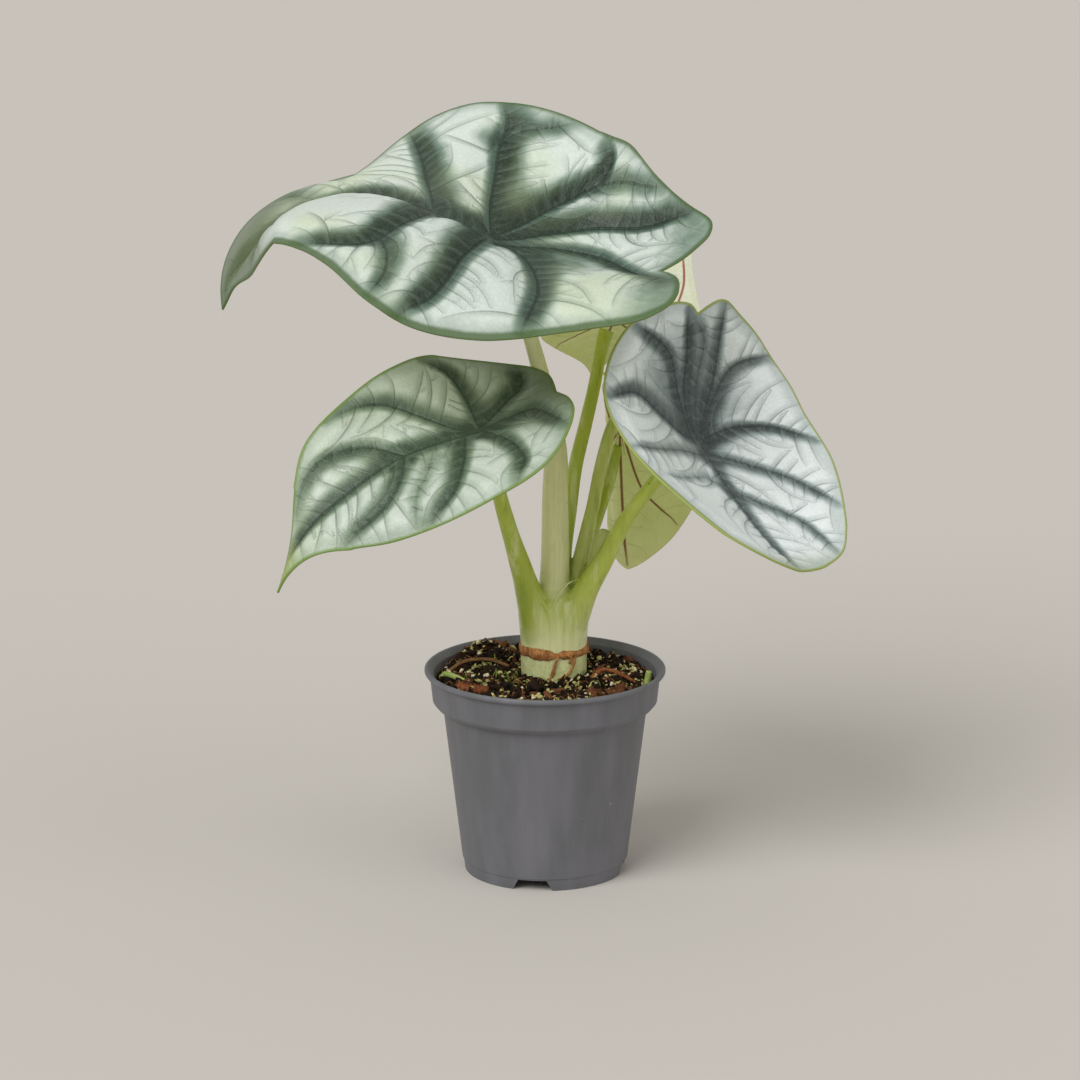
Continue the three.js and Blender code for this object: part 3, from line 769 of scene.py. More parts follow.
@dataclass(frozen=True)
class PotFinish:
    """Matte grey plastic with painted soft vertical highlights and pale specks."""

    body: str
    lit: str
    speck: str
    bump_depth: float = 0.00004

    def material(self) -> bpy.types.Material:
        """Builds the material.

        Returns:
            The plastic.
        """
        shader = Shader("matte grey plastic")
        place = shader.place()
        highlight_streaks = shader.noise(shader.stretched(0.2), scale=130.0, detail=4.0, rough=0.6)
        specks = shader.cells(place, scale=260.0, feature="F1").ramp(0.11, 0.07)
        specks = specks * shader.noise(place, scale=90.0).ramp(0.6, 0.7)
        # Painted highlights: soft vertical streaks toward the lit colour.
        colour = shader.blend(highlight_streaks.ramp(0.3, 0.75), self.body, self.lit)
        colour = shader.blend(specks * 0.5, colour, self.speck)
        grain = shader.noise(place, scale=2600.0)
        return shader.finish(colour, highlight_streaks * 0.12 + 0.44, grain, self.bump_depth, Specular_IOR_Level=0.4)


SILVER_LEAF = BladeFinish(
    "silver leaf", "d2dcd3", "c5d3a6", "788c7c", "2f432d", "1a2815", "455a4f", "56653f", "b2b970",
    "95a052", "74803c", "46602f", line=0.7, strip=1.0,
)
COOL_LEAF = BladeFinish(
    "cool silver leaf", "e6edec", "d6e0d6", "8f9d9b", "414d4b", "27312f", "5a6664", "9aa86a", "bcc27a",
    "a2ab58", "8a8f45", "93a34e", line=0.62, strip=0.5,
)
GREEN_LEAF = BladeFinish(
    "green silver leaf", "c6d1c5", "bbc8a6", "83957f", "435543", "263724", "576a58", "a8b43a", "b2b974",
    "98a356", "74803c", "6d8a3c", line=0.62, strip=0.7,
)
# Back leaves glow on their lower face: painted light.
BACK_LEAF = BladeFinish(
    "back leaf", "c4d0c6", "b9c7a2", "7a8c7d", "33462f", "22311e", "4d5e54", "98a356", "d4d897", "b4bd70",
    "6a3513", "8d964a", glow=0.18,
)
CREAM_LEAF = BladeFinish(
    "cream back leaf", "ccd5cb", "bfcaa8", "87957f", "43553b", "2b3a25", "5c6c58", "b9b98b", "f4f5e8",
    "e6eacd", "a4484b", "b7b98a", glow=0.42,
)
PETIOLE_SKIN = StemFinish("f3f4c0", "bfd22c", "7c911c", "4a5a1c")
PEAT = GroundFinish("peat", "3a2717", "060403", 700.0, 0.95, 0.0006)
BARK = GroundFinish("bark chips", "8a5636", "2a150b", 700.0, 0.85, 0.0004)
PERLITE = GroundFinish("perlite", "fff5dc", "dccb9c", 1200.0, 0.9, 0.0002)
MOSS = GroundFinish("moss", "e6e09a", "8f8844", 900.0, 0.85, 0.0002)
SPRIG = GroundFinish("green moss", "a3b34e", "4f6a22", 900.0, 0.85, 0.0002)
FIBRE = GroundFinish("dry fibres", "b98555", "5a3620", 900.0, 0.85, 0.0001)
ROOT = GroundFinish("dry root", "b06f43", "5f2f1a", 700.0, 0.8, 0.0002)
STRAW = GroundFinish("dry strip", "9c7548", "4e3320", 900.0, 0.8, 0.0002)
PAPERY = GroundFinish("papery sheath", "dc9f60", "7a421e", 600.0, 0.7, 0.0003)
SPROUT_SKIN = GroundFinish("sprout skin", "c3cd7c", "8ea850", 300.0, 0.5, 0.0001)
GREY_PLASTIC = PotFinish(body="636569", lit="737279", speck="a9adae")


# Leaves


@dataclass(frozen=True)
class Vein:
    """Main vein of a blade: its strength, the side of it where shade is painted, and its route in the flat
    drawing.

    The shade side is 1 on the left of its way to the margin, -1 on the right, and 0 where both are alike. On
    that side the dark band is wider and steeper: painted shade.
    """

    strength: float
    shade_side: float
    route: tuple[Point2, ...]


@dataclass(frozen=True)
class LeafShape:
    """Flat drawing of a blade, x toward the tip and y across, and how it is bent and placed.

    Millimetres and degrees. Bends are in radians for each millimetre. The heart is the dark patch where the
    veins meet: its middle along x, its radius and its strength. The wide margin gives how much wider the rim
    is on one side, that side as 1 for left or -1 for right, and where it begins along x.
    """

    seat: Point3
    heading: float
    pitch: float
    roll: float
    arch: Point3
    tip_from: float
    curl_left: Point2
    curl_right: Point2
    twist: Point2
    left: tuple[Point2, ...]
    right: tuple[Point2, ...]
    veins: tuple[Vein, ...]
    quilt: float
    band: float
    rings: int
    fine: Side = Side.UPPER
    half_thickness: float = 0.4
    heart: Point3 = (0.0, 6.0, 0.0)
    lobe_darkening: Point2 = (FAR_OFF, 2 * FAR_OFF)
    wide_margin: Point3 = (0.0, 1.0, -FAR_OFF)
    quilt_width: float = 4.5
    rim_curl: float = 0.9
    tip_stain: Point2 = (FAR_OFF, 2 * FAR_OFF)
    net_gap: Point2 = (3.6, 6.0)
    net_seed: int = 1


def arc_run(start: Array, bend: Array, length: Array) -> tuple[Array, Array, Array]:
    """Run along an arc that starts at a droop angle.

    Args:
        start: Droop angle at the start, in radians.
        bend: Change of the angle for each millimetre.
        length: Length of the run.

    Returns:
        How far it goes forward, how far up, and the angle at its end.
    """
    safe = np.where(np.abs(bend) > 1e-6, bend, 1e-6)
    end = start + safe * length
    return (np.sin(end) - np.sin(start)) / safe, (np.cos(end) - np.cos(start)) / safe, end


def along_line(x: Array, y: Array, line: Array) -> tuple[Array, Array, Array]:
    """Nearest place on a line of straight pieces.

    Args:
        x: First coordinate of each point.
        y: Second coordinate of each point.
        line: Points of the line.

    Returns:
        The distance, the side it lies on as -1 or 1, and how far along the line it is.
    """
    best = np.full(x.shape, np.inf)
    side = np.ones(x.shape)
    run = np.zeros(x.shape)
    passed = 0.0
    for start, end in zip(line[:-1], line[1:]):
        step = end - start
        length = float(np.hypot(*step))
        if length < 1e-9:
            continue
        dx, dy = x - start[0], y - start[1]
        t = np.clip((dx * step[0] + dy * step[1]) / length**2, 0, 1)
        distance = np.hypot(dx - t * step[0], dy - t * step[1])
        nearer = distance < best
        best = np.where(nearer, distance, best)
        side = np.where(nearer, np.where(step[0] * dy - step[1] * dx >= 0, 1.0, -1.0), side)
        run = np.where(nearer, passed + t * length, run)
        passed += length
    return best, side, run


@dataclass
class VeinNet:
    """Side veins that leave the main veins of a blade and curve toward its margin.

    Millimetres and degrees. A side vein starts with a lean from the vein that it leaves, bends toward that
    vein's way with each millimetre, and stops at a main vein, at an earlier side vein or near the margin.
    Some bear a branch.
    """

    lines: list[Array]
    strengths: list[float]
    rim: Array
    gap: Point2
    seed: int
    step: float = 0.3
    first: Point2 = (2.5, 5.0)
    lean: Point2 = (58, 86)
    least_lean: float = 6.0
    bend: Point2 = (1.6, 3.6)
    depth: Point2 = (0.65, 1.0)
    length: Point2 = (9, 24)
    shortest: float = 1.6
    fade: float = 0.65
    wobble: float = 0.035
    main_clearance: float = 0.7
    leaving_run: float = 5.0
    clearance: float = 1.1
    outermost: float = 0.975
    branch_chance: float = 0.5
    branch_from: float = 7.0
    branch_place: Point2 = (0.4, 0.7)
    branch_lean: Point2 = (35, 60)
    branch_bend: float = 2.0
    branch_length: Point2 = (3, 8)
    branch_depth: float = 0.5

    def __post_init__(self) -> None:
        """Grows the net."""
        self.random = np.random.default_rng(self.seed)
        self.spots: list[Array] = []
        self.ways: list[Array] = []
        self.depths: list[float] = []
        angle = np.arctan2(self.rim[:, 1], self.rim[:, 0])
        order = np.argsort(angle)
        self.rim_angle = angle[order]
        self.rim_radius = np.hypot(self.rim[:, 0], self.rim[:, 1])[order]
        self.main = np.vstack(self.lines)
        self.owner = np.concatenate([np.full(len(line), i) for i, line in enumerate(self.lines)])
        for number, line in enumerate(self.lines):
            self._leave(number, line)

    def reach(self, spot: Array) -> float:
        """How far out a point lies, 1 at the margin."""
        radius = np.interp(math.atan2(spot[1], spot[0]), self.rim_angle, self.rim_radius, period=2 * math.pi)
        return float(np.hypot(*spot) / radius)

    def _leave(self, number: int, line: Array) -> None:
        """Starts side veins along both sides of one main vein.

        Args:
            number: Number of the main vein.
            line: Its points.
        """
        steps = np.hypot(*np.diff(line, axis=0).T)
        run = np.concatenate([[0], np.cumsum(steps)])
        for side in (1.0, -1.0):
            place = self.random.uniform(*self.first)
            while place < run[-1] - 1.5:
                spot = np.array([np.interp(place, run, line[:, k]) for k in (0, 1)])
                ahead = np.array([np.interp(min(place + 1, run[-1]), run, line[:, k]) for k in (0, 1)])
                forward = math.atan2(*(ahead - spot)[::-1])
                lean = math.radians(self.random.uniform(*self.lean))
                bend = math.radians(self.random.uniform(*self.bend))
                depth = self.random.uniform(*self.depth)
                length = self.random.uniform(*self.length)
                self._grow(spot, forward, side, lean, bend, number, length, depth)
                place += self.random.uniform(*self.gap) / (0.4 + 0.6 * self.strengths[number])

    def _grow(
        self, spot: Array, forward: float, side: float, lean: float, bend: float, owner: int, length: float,
        depth: float,
    ) -> None:
        """Runs one side vein from its start until it meets something.

        Args:
            spot: Where it starts.
            forward: Direction of the vein that it leaves, in radians.
            side: 1 for the left side of that vein, -1 for the right.
            lean: Angle between the two at the start, in radians.
            bend: How much the angle closes with each millimetre, in radians.
            owner: Number of the main vein that it belongs to, or -1.
            length: Longest run in millimetres.
            depth: How deep it is, from 0 to 1.
        """
        path = [spot]
        wobble = self.random.uniform(-self.wobble, self.wobble)
        earlier = np.array(self.spots) if self.spots else np.full((1, 2), FAR_OFF)
        while len(path) * self.step < length:
            direction = forward + side * lean
            here = path[-1] + self.step * np.array([math.cos(direction), math.sin(direction)])
            travelled = len(path) * self.step
            lean = max(math.radians(self.least_lean), lean - bend * self.step + wobble * self.step)
            gaps = np.hypot(self.main[:, 0] - here[0], self.main[:, 1] - here[1])
            own = (self.owner == owner) & (travelled < self.leaving_run)
            if np.min(np.where(own, np.inf, gaps)) < self.main_clearance or self.reach(here) > self.outermost:
                break
            if travelled > self.shortest and np.min(np.hypot(*(earlier - here).T)) < self.clearance:
                break
            path.append(here)
        if len(path) * self.step < self.shortest:
            return
        for k, here in enumerate(path[:-1]):
            self.spots.append(here)
            self.ways.append(path[k + 1] - here)
            share = k / len(path)
            self.depths.append(depth * (1 - self.fade * share))
        long_enough = owner >= 0 and len(path) * self.step > self.branch_from
        if long_enough and self.random.random() < self.branch_chance:
            place = int(len(path) * self.random.uniform(*self.branch_place))
            way = path[min(place + 1, len(path) - 1)] - path[place]
            lean, bend = math.radians(self.random.uniform(*self.branch_lean)), math.radians(self.branch_bend)
            length = self.random.uniform(*self.branch_length)
            forward = math.atan2(way[1], way[0])
            self._grow(path[place], forward, side, lean, bend, -1, length, self.branch_depth)

    def measure(self, x: Array, y: Array) -> tuple[Array, Array, Array]:
        """Nearest side vein to each point.

        Args:
            x, y: Coordinates of each point.

        Returns:
            The distance with the sign of its side, the bare distance, and the depth there.
        """
        tree = KDTree(len(self.spots))
        for k, spot in enumerate(self.spots):
            tree.insert((spot[0], spot[1], 0.0), k)
        tree.balance()
        nearest = np.array([tree.find((px, py, 0.0))[1] for px, py in zip(x, y)])
        spots, ways = np.array(self.spots)[nearest], np.array(self.ways)[nearest]
        ways = ways / np.hypot(ways[:, 0], ways[:, 1])[:, None]
        dx, dy = x - spots[:, 0], y - spots[:, 1]
        along = dx * ways[:, 0] + dy * ways[:, 1]
        across = ways[:, 0] * dy - ways[:, 1] * dx
        past_end = np.maximum(np.abs(along) - self.step * 0.75, 0)
        far = np.hypot(across, past_end)
        signed = np.where(across >= 0, far, -far)
        return signed, far, np.array(self.depths)[nearest]


@dataclass
class LeafBlade:
    """One leaf blade, from its flat drawing to the bent, quilted mesh."""

    node: str
    shape: LeafShape
    finish: BladeFinish
    axis: Vector
    band_taper: float = 0.38
    # How much wider a band is on its vein's shade side, and narrower on its lit side: painted shade.
    shade_widening: float = 0.5
    vein_fade: float = 0.4
    fading: Point2 = (0.8, 1.0)
    crease_depths: Point2 = (0.30, 0.36)
    crease_widths: Point2 = (0.6, 1.6)
    rim_bulge: float = 0.18
    run_on: float = 9.0
    run_step: float = 0.5
    margin_clear: float = 1.2

    def _directions(self) -> tuple[Array, Array, Array]:
        """Ways in which the blade lies.

        Returns:
            Directions toward the tip, to the left and out of the upper face.
        """
        h, p, r = (math.radians(a) for a in (self.shape.heading, self.shape.pitch, self.shape.roll))
        tipward = np.array([math.cos(h) * math.cos(p), math.sin(h) * math.cos(p), -math.sin(p)])
        level = np.array([math.cos(h) * math.sin(p), math.sin(h) * math.sin(p), math.cos(p)])
        sideways = np.cross(level, tipward)
        up = level * math.cos(r) + sideways * math.sin(r)
        left = sideways * math.cos(r) - level * math.sin(r)
        return tipward, left, up

    def bent(self, x: Array, y: Array) -> Array:
        """Places flat points on the bent blade.

        Args:
            x, y: Flat coordinates, toward the tip and across.

        Returns:
            Points in millimetres from the foot of the pot axis.
        """
        shape = self.shape
        tipward, left, up = self._directions()
        near = np.clip(x, 0, shape.tip_from)
        far = np.maximum(x - shape.tip_from, 0)
        x1, z1, droop1 = arc_run(np.zeros_like(x), np.full_like(x, shape.arch[0]), near)
        x2, z2, droop2 = arc_run(droop1, np.full_like(x, shape.arch[0] + shape.arch[1]), far)
        x3, z3, droop3 = arc_run(np.zeros_like(x), np.full_like(x, shape.arch[2]), np.minimum(x, 0))
        droop = droop2 + droop3
        curl = np.where(y >= 0, shape.curl_left[0], shape.curl_right[0])
        change = np.where(y >= 0, shape.curl_left[1], shape.curl_right[1])
        across, sag, _ = arc_run(np.zeros_like(x), curl + change * x, y)
        twist = shape.twist[0] * x + shape.twist[1] * far
        sideways = across * np.cos(twist) - sag * np.sin(twist)
        rise = across * np.sin(twist) + sag * np.cos(twist)
        return (
            np.array(shape.seat)
            + np.outer(x1 + x2 + x3 + np.sin(droop) * rise, tipward)
            + np.outer(z1 + z2 + z3 + np.cos(droop) * rise, up)
            + np.outer(sideways, left)
        )

    def normals(self, x: Array, y: Array) -> Array:
        """Directions out of the upper face.

        Args:
            x, y: Flat coordinates, toward the tip and across.

        Returns:
            One direction for each point.
        """
        step = 0.25
        along = self.bent(x + step, y) - self.bent(x - step, y)
        across = self.bent(x, y + step) - self.bent(x, y - step)
        out = np.cross(along, across)
        return out / np.linalg.norm(out, axis=1)[:, None]

    def rim(self, turn: Array) -> Array:
        """Points of the outline, from the tip round the left side and back along the right.

        Args:
            turn: How far round each point lies, from 0 to 1.

        Returns:
            One row for each point, in flat coordinates.
        """
        dense = np.linspace(0, 1, 1201)
        right = np.array(self.shape.right) * (1, -1)
        halves = [spline(self.shape.left, dense, Ends.HELD), spline(right, dense, Ends.HELD)[::-1]]
        spots = np.zeros((len(turn), 2))
        for k, half in enumerate(halves):
            run = np.concatenate([[0], np.cumsum(np.hypot(*np.diff(half, axis=0).T))])
            share = np.clip(turn * 2 - k, 0, 1) * run[-1]
            mine = (turn * 2 >= k) & (turn * 2 <= k + 1)
            for c in (0, 1):
                spots[:, c] = np.where(mine, np.interp(share, run, half[:, c]), spots[:, c])
        return spots

    def marks(self, x: Array, y: Array, net: VeinNet, lines: list[Array]) -> dict[str, Array]:
        """Measures that the relief and the finish read.

        Args:
            x, y: Flat coordinates, toward the tip and across.
            net: The side veins.
            lines: The main veins.

        Returns:
            Values by name, in millimetres where they are lengths.
        """
        size = np.full(x.shape, np.inf)
        second = np.full(x.shape, np.inf)
        names = ("vein_side", "vein_far", "vein_run", "vein_number", "vein_depth", "shaded")
        marks = {name: np.zeros(x.shape) for name in names}
        clear = np.ones(x.shape)
        low = np.ones(x.shape)
        for number, (vein, line) in enumerate(zip(self.shape.veins, lines)):
            length = float(np.sum(np.hypot(*np.diff(line, axis=0).T)))
            distance, side, run = along_line(x, y, line)
            share = run / length
            fade = vein.strength * (1 - self.vein_fade * smoothstep(*self.fading, share))
            width = self.shape.band * (1 - self.band_taper * share)
            # Painted shade: each band is wider on its vein's shade side.
            width = width * (1 + self.shade_widening * vein.shade_side * side)
            ratio = distance / width
            falloff = 1 - smoothstep(0.0, 1.0, ratio)
            clear *= 1 - fade * falloff
            low *= 1 - fade * (
                0.72 * np.exp(-((distance / self.shape.quilt_width) ** 2)) + 0.28 * np.exp(-distance / 1.3)
            )
            nearer = ratio < size
            second = np.where(nearer, size * width, np.minimum(second, distance))
            size = np.where(nearer, ratio, size)
            # shaded marks which side of each vein gets the painted shade and which gets the painted lit side.
            new = {
                "vein_side": side * distance, "vein_far": distance, "vein_run": run,
                "vein_number": np.full(x.shape, number * 7.3), "vein_depth": fade,
                "shaded": 0.5 + 0.5 * vein.shade_side * side * (1 - np.exp(-distance / 0.35)),
            }
            for name, values in new.items():
                marks[name] = np.where(nearer, values, marks[name])
        middle, radius, strength = self.shape.heart
        clear *= 1 - strength * np.exp(-(((x - middle) ** 2 + y**2) / radius**2))
        # Bands darker toward the ends of the lobes.
        clear *= 1 - 0.42 * smoothstep(*self.shape.lobe_darkening, -x)
        marks["seam"] = np.abs(second - marks["vein_far"])
        marks["band"] = 1 - clear
        marks["valley"] = 1 - low
        signed, bare, depth = net.measure(x, y)
        marks["crease_side"], marks["crease_far"], marks["crease_depth"] = signed, bare, depth
        widen, margin_side, begin = self.shape.wide_margin
        there = smoothstep(5, 25, y * margin_side) * smoothstep(begin, begin + 18, x)
        marks["rim"] = self._from_rim(x, y) - widen * there
        marks["tip"] = smoothstep(*self.shape.tip_stain, x)
        return marks

    def _to_margin(self, line: Array) -> Array:
        """Runs a main vein on, straight ahead, to just inside the margin where that is near.

        Args:
            line: Points of the vein.

        Returns:
            Its points with the new ones at the end.
        """
        way = line[-1] - line[-4]
        way = way / np.hypot(*way)
        ahead = line[-1] + np.outer(np.arange(self.run_step, self.run_on, self.run_step), way)
        inside = self._from_rim(*ahead.T) > self.margin_clear
        angle = np.arctan2(ahead[:, 1], ahead[:, 0])
        rim = self.rim(np.linspace(0, 1, 721)[:-1])
        order = np.argsort(np.arctan2(rim[:, 1], rim[:, 0]))
        rim = rim[order]
        radius = np.interp(angle, np.arctan2(rim[:, 1], rim[:, 0]), np.hypot(*rim.T), period=2 * math.pi)
        inside &= np.hypot(*ahead.T) < radius
        last = len(ahead) if inside.all() else int(np.argmin(inside))
        return np.vstack([line, ahead[:last]])

    def _from_rim(self, x: Array, y: Array) -> Array:
        """Distance of flat points from the margin.

        Args:
            x, y: Flat coordinates, toward the tip and across.

        Returns:
            One distance for each point, in millimetres.
        """
        rim = self.rim(np.linspace(0, 1, 1601)[:-1])
        tree = KDTree(len(rim))
        for k, spot in enumerate(rim):
            tree.insert((spot[0], spot[1], 0.0), k)
        tree.balance()
        return np.array([tree.find((px, py, 0.0))[2] for px, py in zip(x, y)])

    def height(self, marks: dict[str, Array], reach: Array, creased: bool) -> Array:
        """Relief of the blade: low along its veins and puffed up between them, its rim curled down.

        Args:
            marks: What the marks method gives.
            reach: How far out each point lies, 1 at the margin.
            creased: True where the side veins are pressed in too.

        Returns:
            One height for each point, in millimetres.
        """
        toward_rim = smoothstep(0.8, 1.0, reach)
        puff = self.shape.quilt * (0.6 - marks["valley"]) * (1 - 0.7 * toward_rim)
        relief = puff - self.shape.rim_curl * toward_rim**2
        if creased:
            depth = marks["crease_depth"] * (1 - 0.8 * toward_rim) * (1 - 0.85 * marks["band"])
            narrow, wide = (
                deep * np.exp(-((marks["crease_far"] / width) ** 2))
                for deep, width in zip(self.crease_depths, self.crease_widths)
            )
            relief = relief - depth * (narrow + wide)
        return relief

    def face(
        self, side: Side, rings: int, net: VeinNet, lines: list[Array],
    ) -> tuple[Array, dict[str, Array], Array, Array]:
        """One face of the blade.

        Args:
            side: Which face.
            rings: Rings of points round the seat.
            net: The side veins.
            lines: The main veins.

        Returns:
            Its points in millimetres, its marks, its triangles seen from above, and its flat coordinates.
        """
        reach, turn, faces = disc_grid(rings)
        flat = self.rim(turn) * reach[:, None]
        x, y = flat.T
        marks = self.marks(x, y, net, lines)
        half = self.shape.half_thickness * (1 - 0.3 * smoothstep(0.85, 1.0, reach)) * side.value
        lift = self.height(marks, reach, side is self.shape.fine) + half
        points = self.bent(x, y) + self.normals(x, y) * lift[:, None]
        marks["lower"] = np.full(x.shape, float(side is Side.LOWER))
        marks["edge"] = np.where(reach > 0.9999, 0.5, 0.0)
        return points, marks, faces, flat

    def build(self) -> bpy.types.Object:
        """Makes both faces, the rounded rim between them and the marks for the finish.

        Returns:
            The blade as one closed mesh.
        """
        shape = self.shape
        share = np.linspace(0, 1, 49)
        lines = [self._to_margin(spline(vein.route, share, Ends.HELD)) for vein in shape.veins]
        strengths = [vein.strength for vein in shape.veins]
        net = VeinNet(lines, strengths, self.rim(np.linspace(0, 1, 721)[:-1]), shape.net_gap, shape.net_seed)
        other = Side.LOWER if shape.fine is Side.UPPER else Side.UPPER
        fine = self.face(shape.fine, shape.rings, net, lines)
        coarse = self.face(other, shape.rings // 2, net, lines)
        count = 6 * shape.rings
        half_count = count // 2
        fine_rim = np.arange(len(fine[0]) - count, len(fine[0]))
        coarse_rim = np.arange(len(coarse[0]) - half_count, len(coarse[0])) + len(fine[0])
        rim_turn = np.arange(count) / count
        rim_flat = self.rim(rim_turn)
        away = (np.roll(rim_flat, -1, 0) - np.roll(rim_flat, 1, 0))[:, ::-1] * (1, -1)
        away = away / np.maximum(np.hypot(away[:, 0], away[:, 1]), 1e-6)[:, None]
        pushed = rim_flat + away * self.rim_bulge
        edge_marks = {name: values[fine_rim].copy() for name, values in fine[1].items()}
        edge_marks["edge"] = np.ones(count)
        edge_marks["lower"] = np.full(count, 0.5)
        reach = np.ones(count)
        middle = self.height(edge_marks, reach, False)
        edge_points = self.bent(*pushed.T) + self.normals(*rim_flat.T) * middle[:, None]
        edge_first = len(fine[0]) + len(coarse[0])
        edge = edge_first + np.arange(count)
        after = np.roll(edge, -1)
        fine_after = np.roll(fine_rim, -1)
        coarse_after = np.roll(coarse_rim, -1)
        even, odd = edge[0::2], edge[1::2]
        even_after = np.roll(even, -1)
        faces = [
            fine[2],
            (coarse[2] + len(fine[0]))[:, ::-1],
            np.stack([fine_rim, edge, after], 1),
            np.stack([fine_rim, after, fine_after], 1),
            np.stack([coarse_rim, odd, even], 1),
            np.stack([coarse_rim, coarse_after, odd], 1),
            np.stack([coarse_after, even_after, odd], 1),
        ]
        triangles = np.concatenate(faces)
        if shape.fine is Side.LOWER:
            triangles = triangles[:, ::-1]
        points = placed(np.vstack([fine[0], coarse[0], edge_points]), self.axis)
        named = (fine[1], coarse[1], edge_marks)
        marks = {name: np.concatenate([m[name] for m in named]) for name in fine[1] if name != "valley"}
        piece = mesh_piece(self.node + "_blade", points, triangles, marks)
        flat = np.vstack([fine[3], coarse[3], rim_flat]) * MM
        layer = piece.data.uv_layers.new(name="flat")
        layer.data.foreach_set("uv", flat[triangles.ravel()].astype(np.float32).ravel())
        return finished(piece, self.finish.material(), self._slot(), self.node)

    def _slot(self) -> str:
        """Slot name for this leaf."""
        return "silver_leaf" if self.shape.fine is Side.UPPER else "back_leaf"


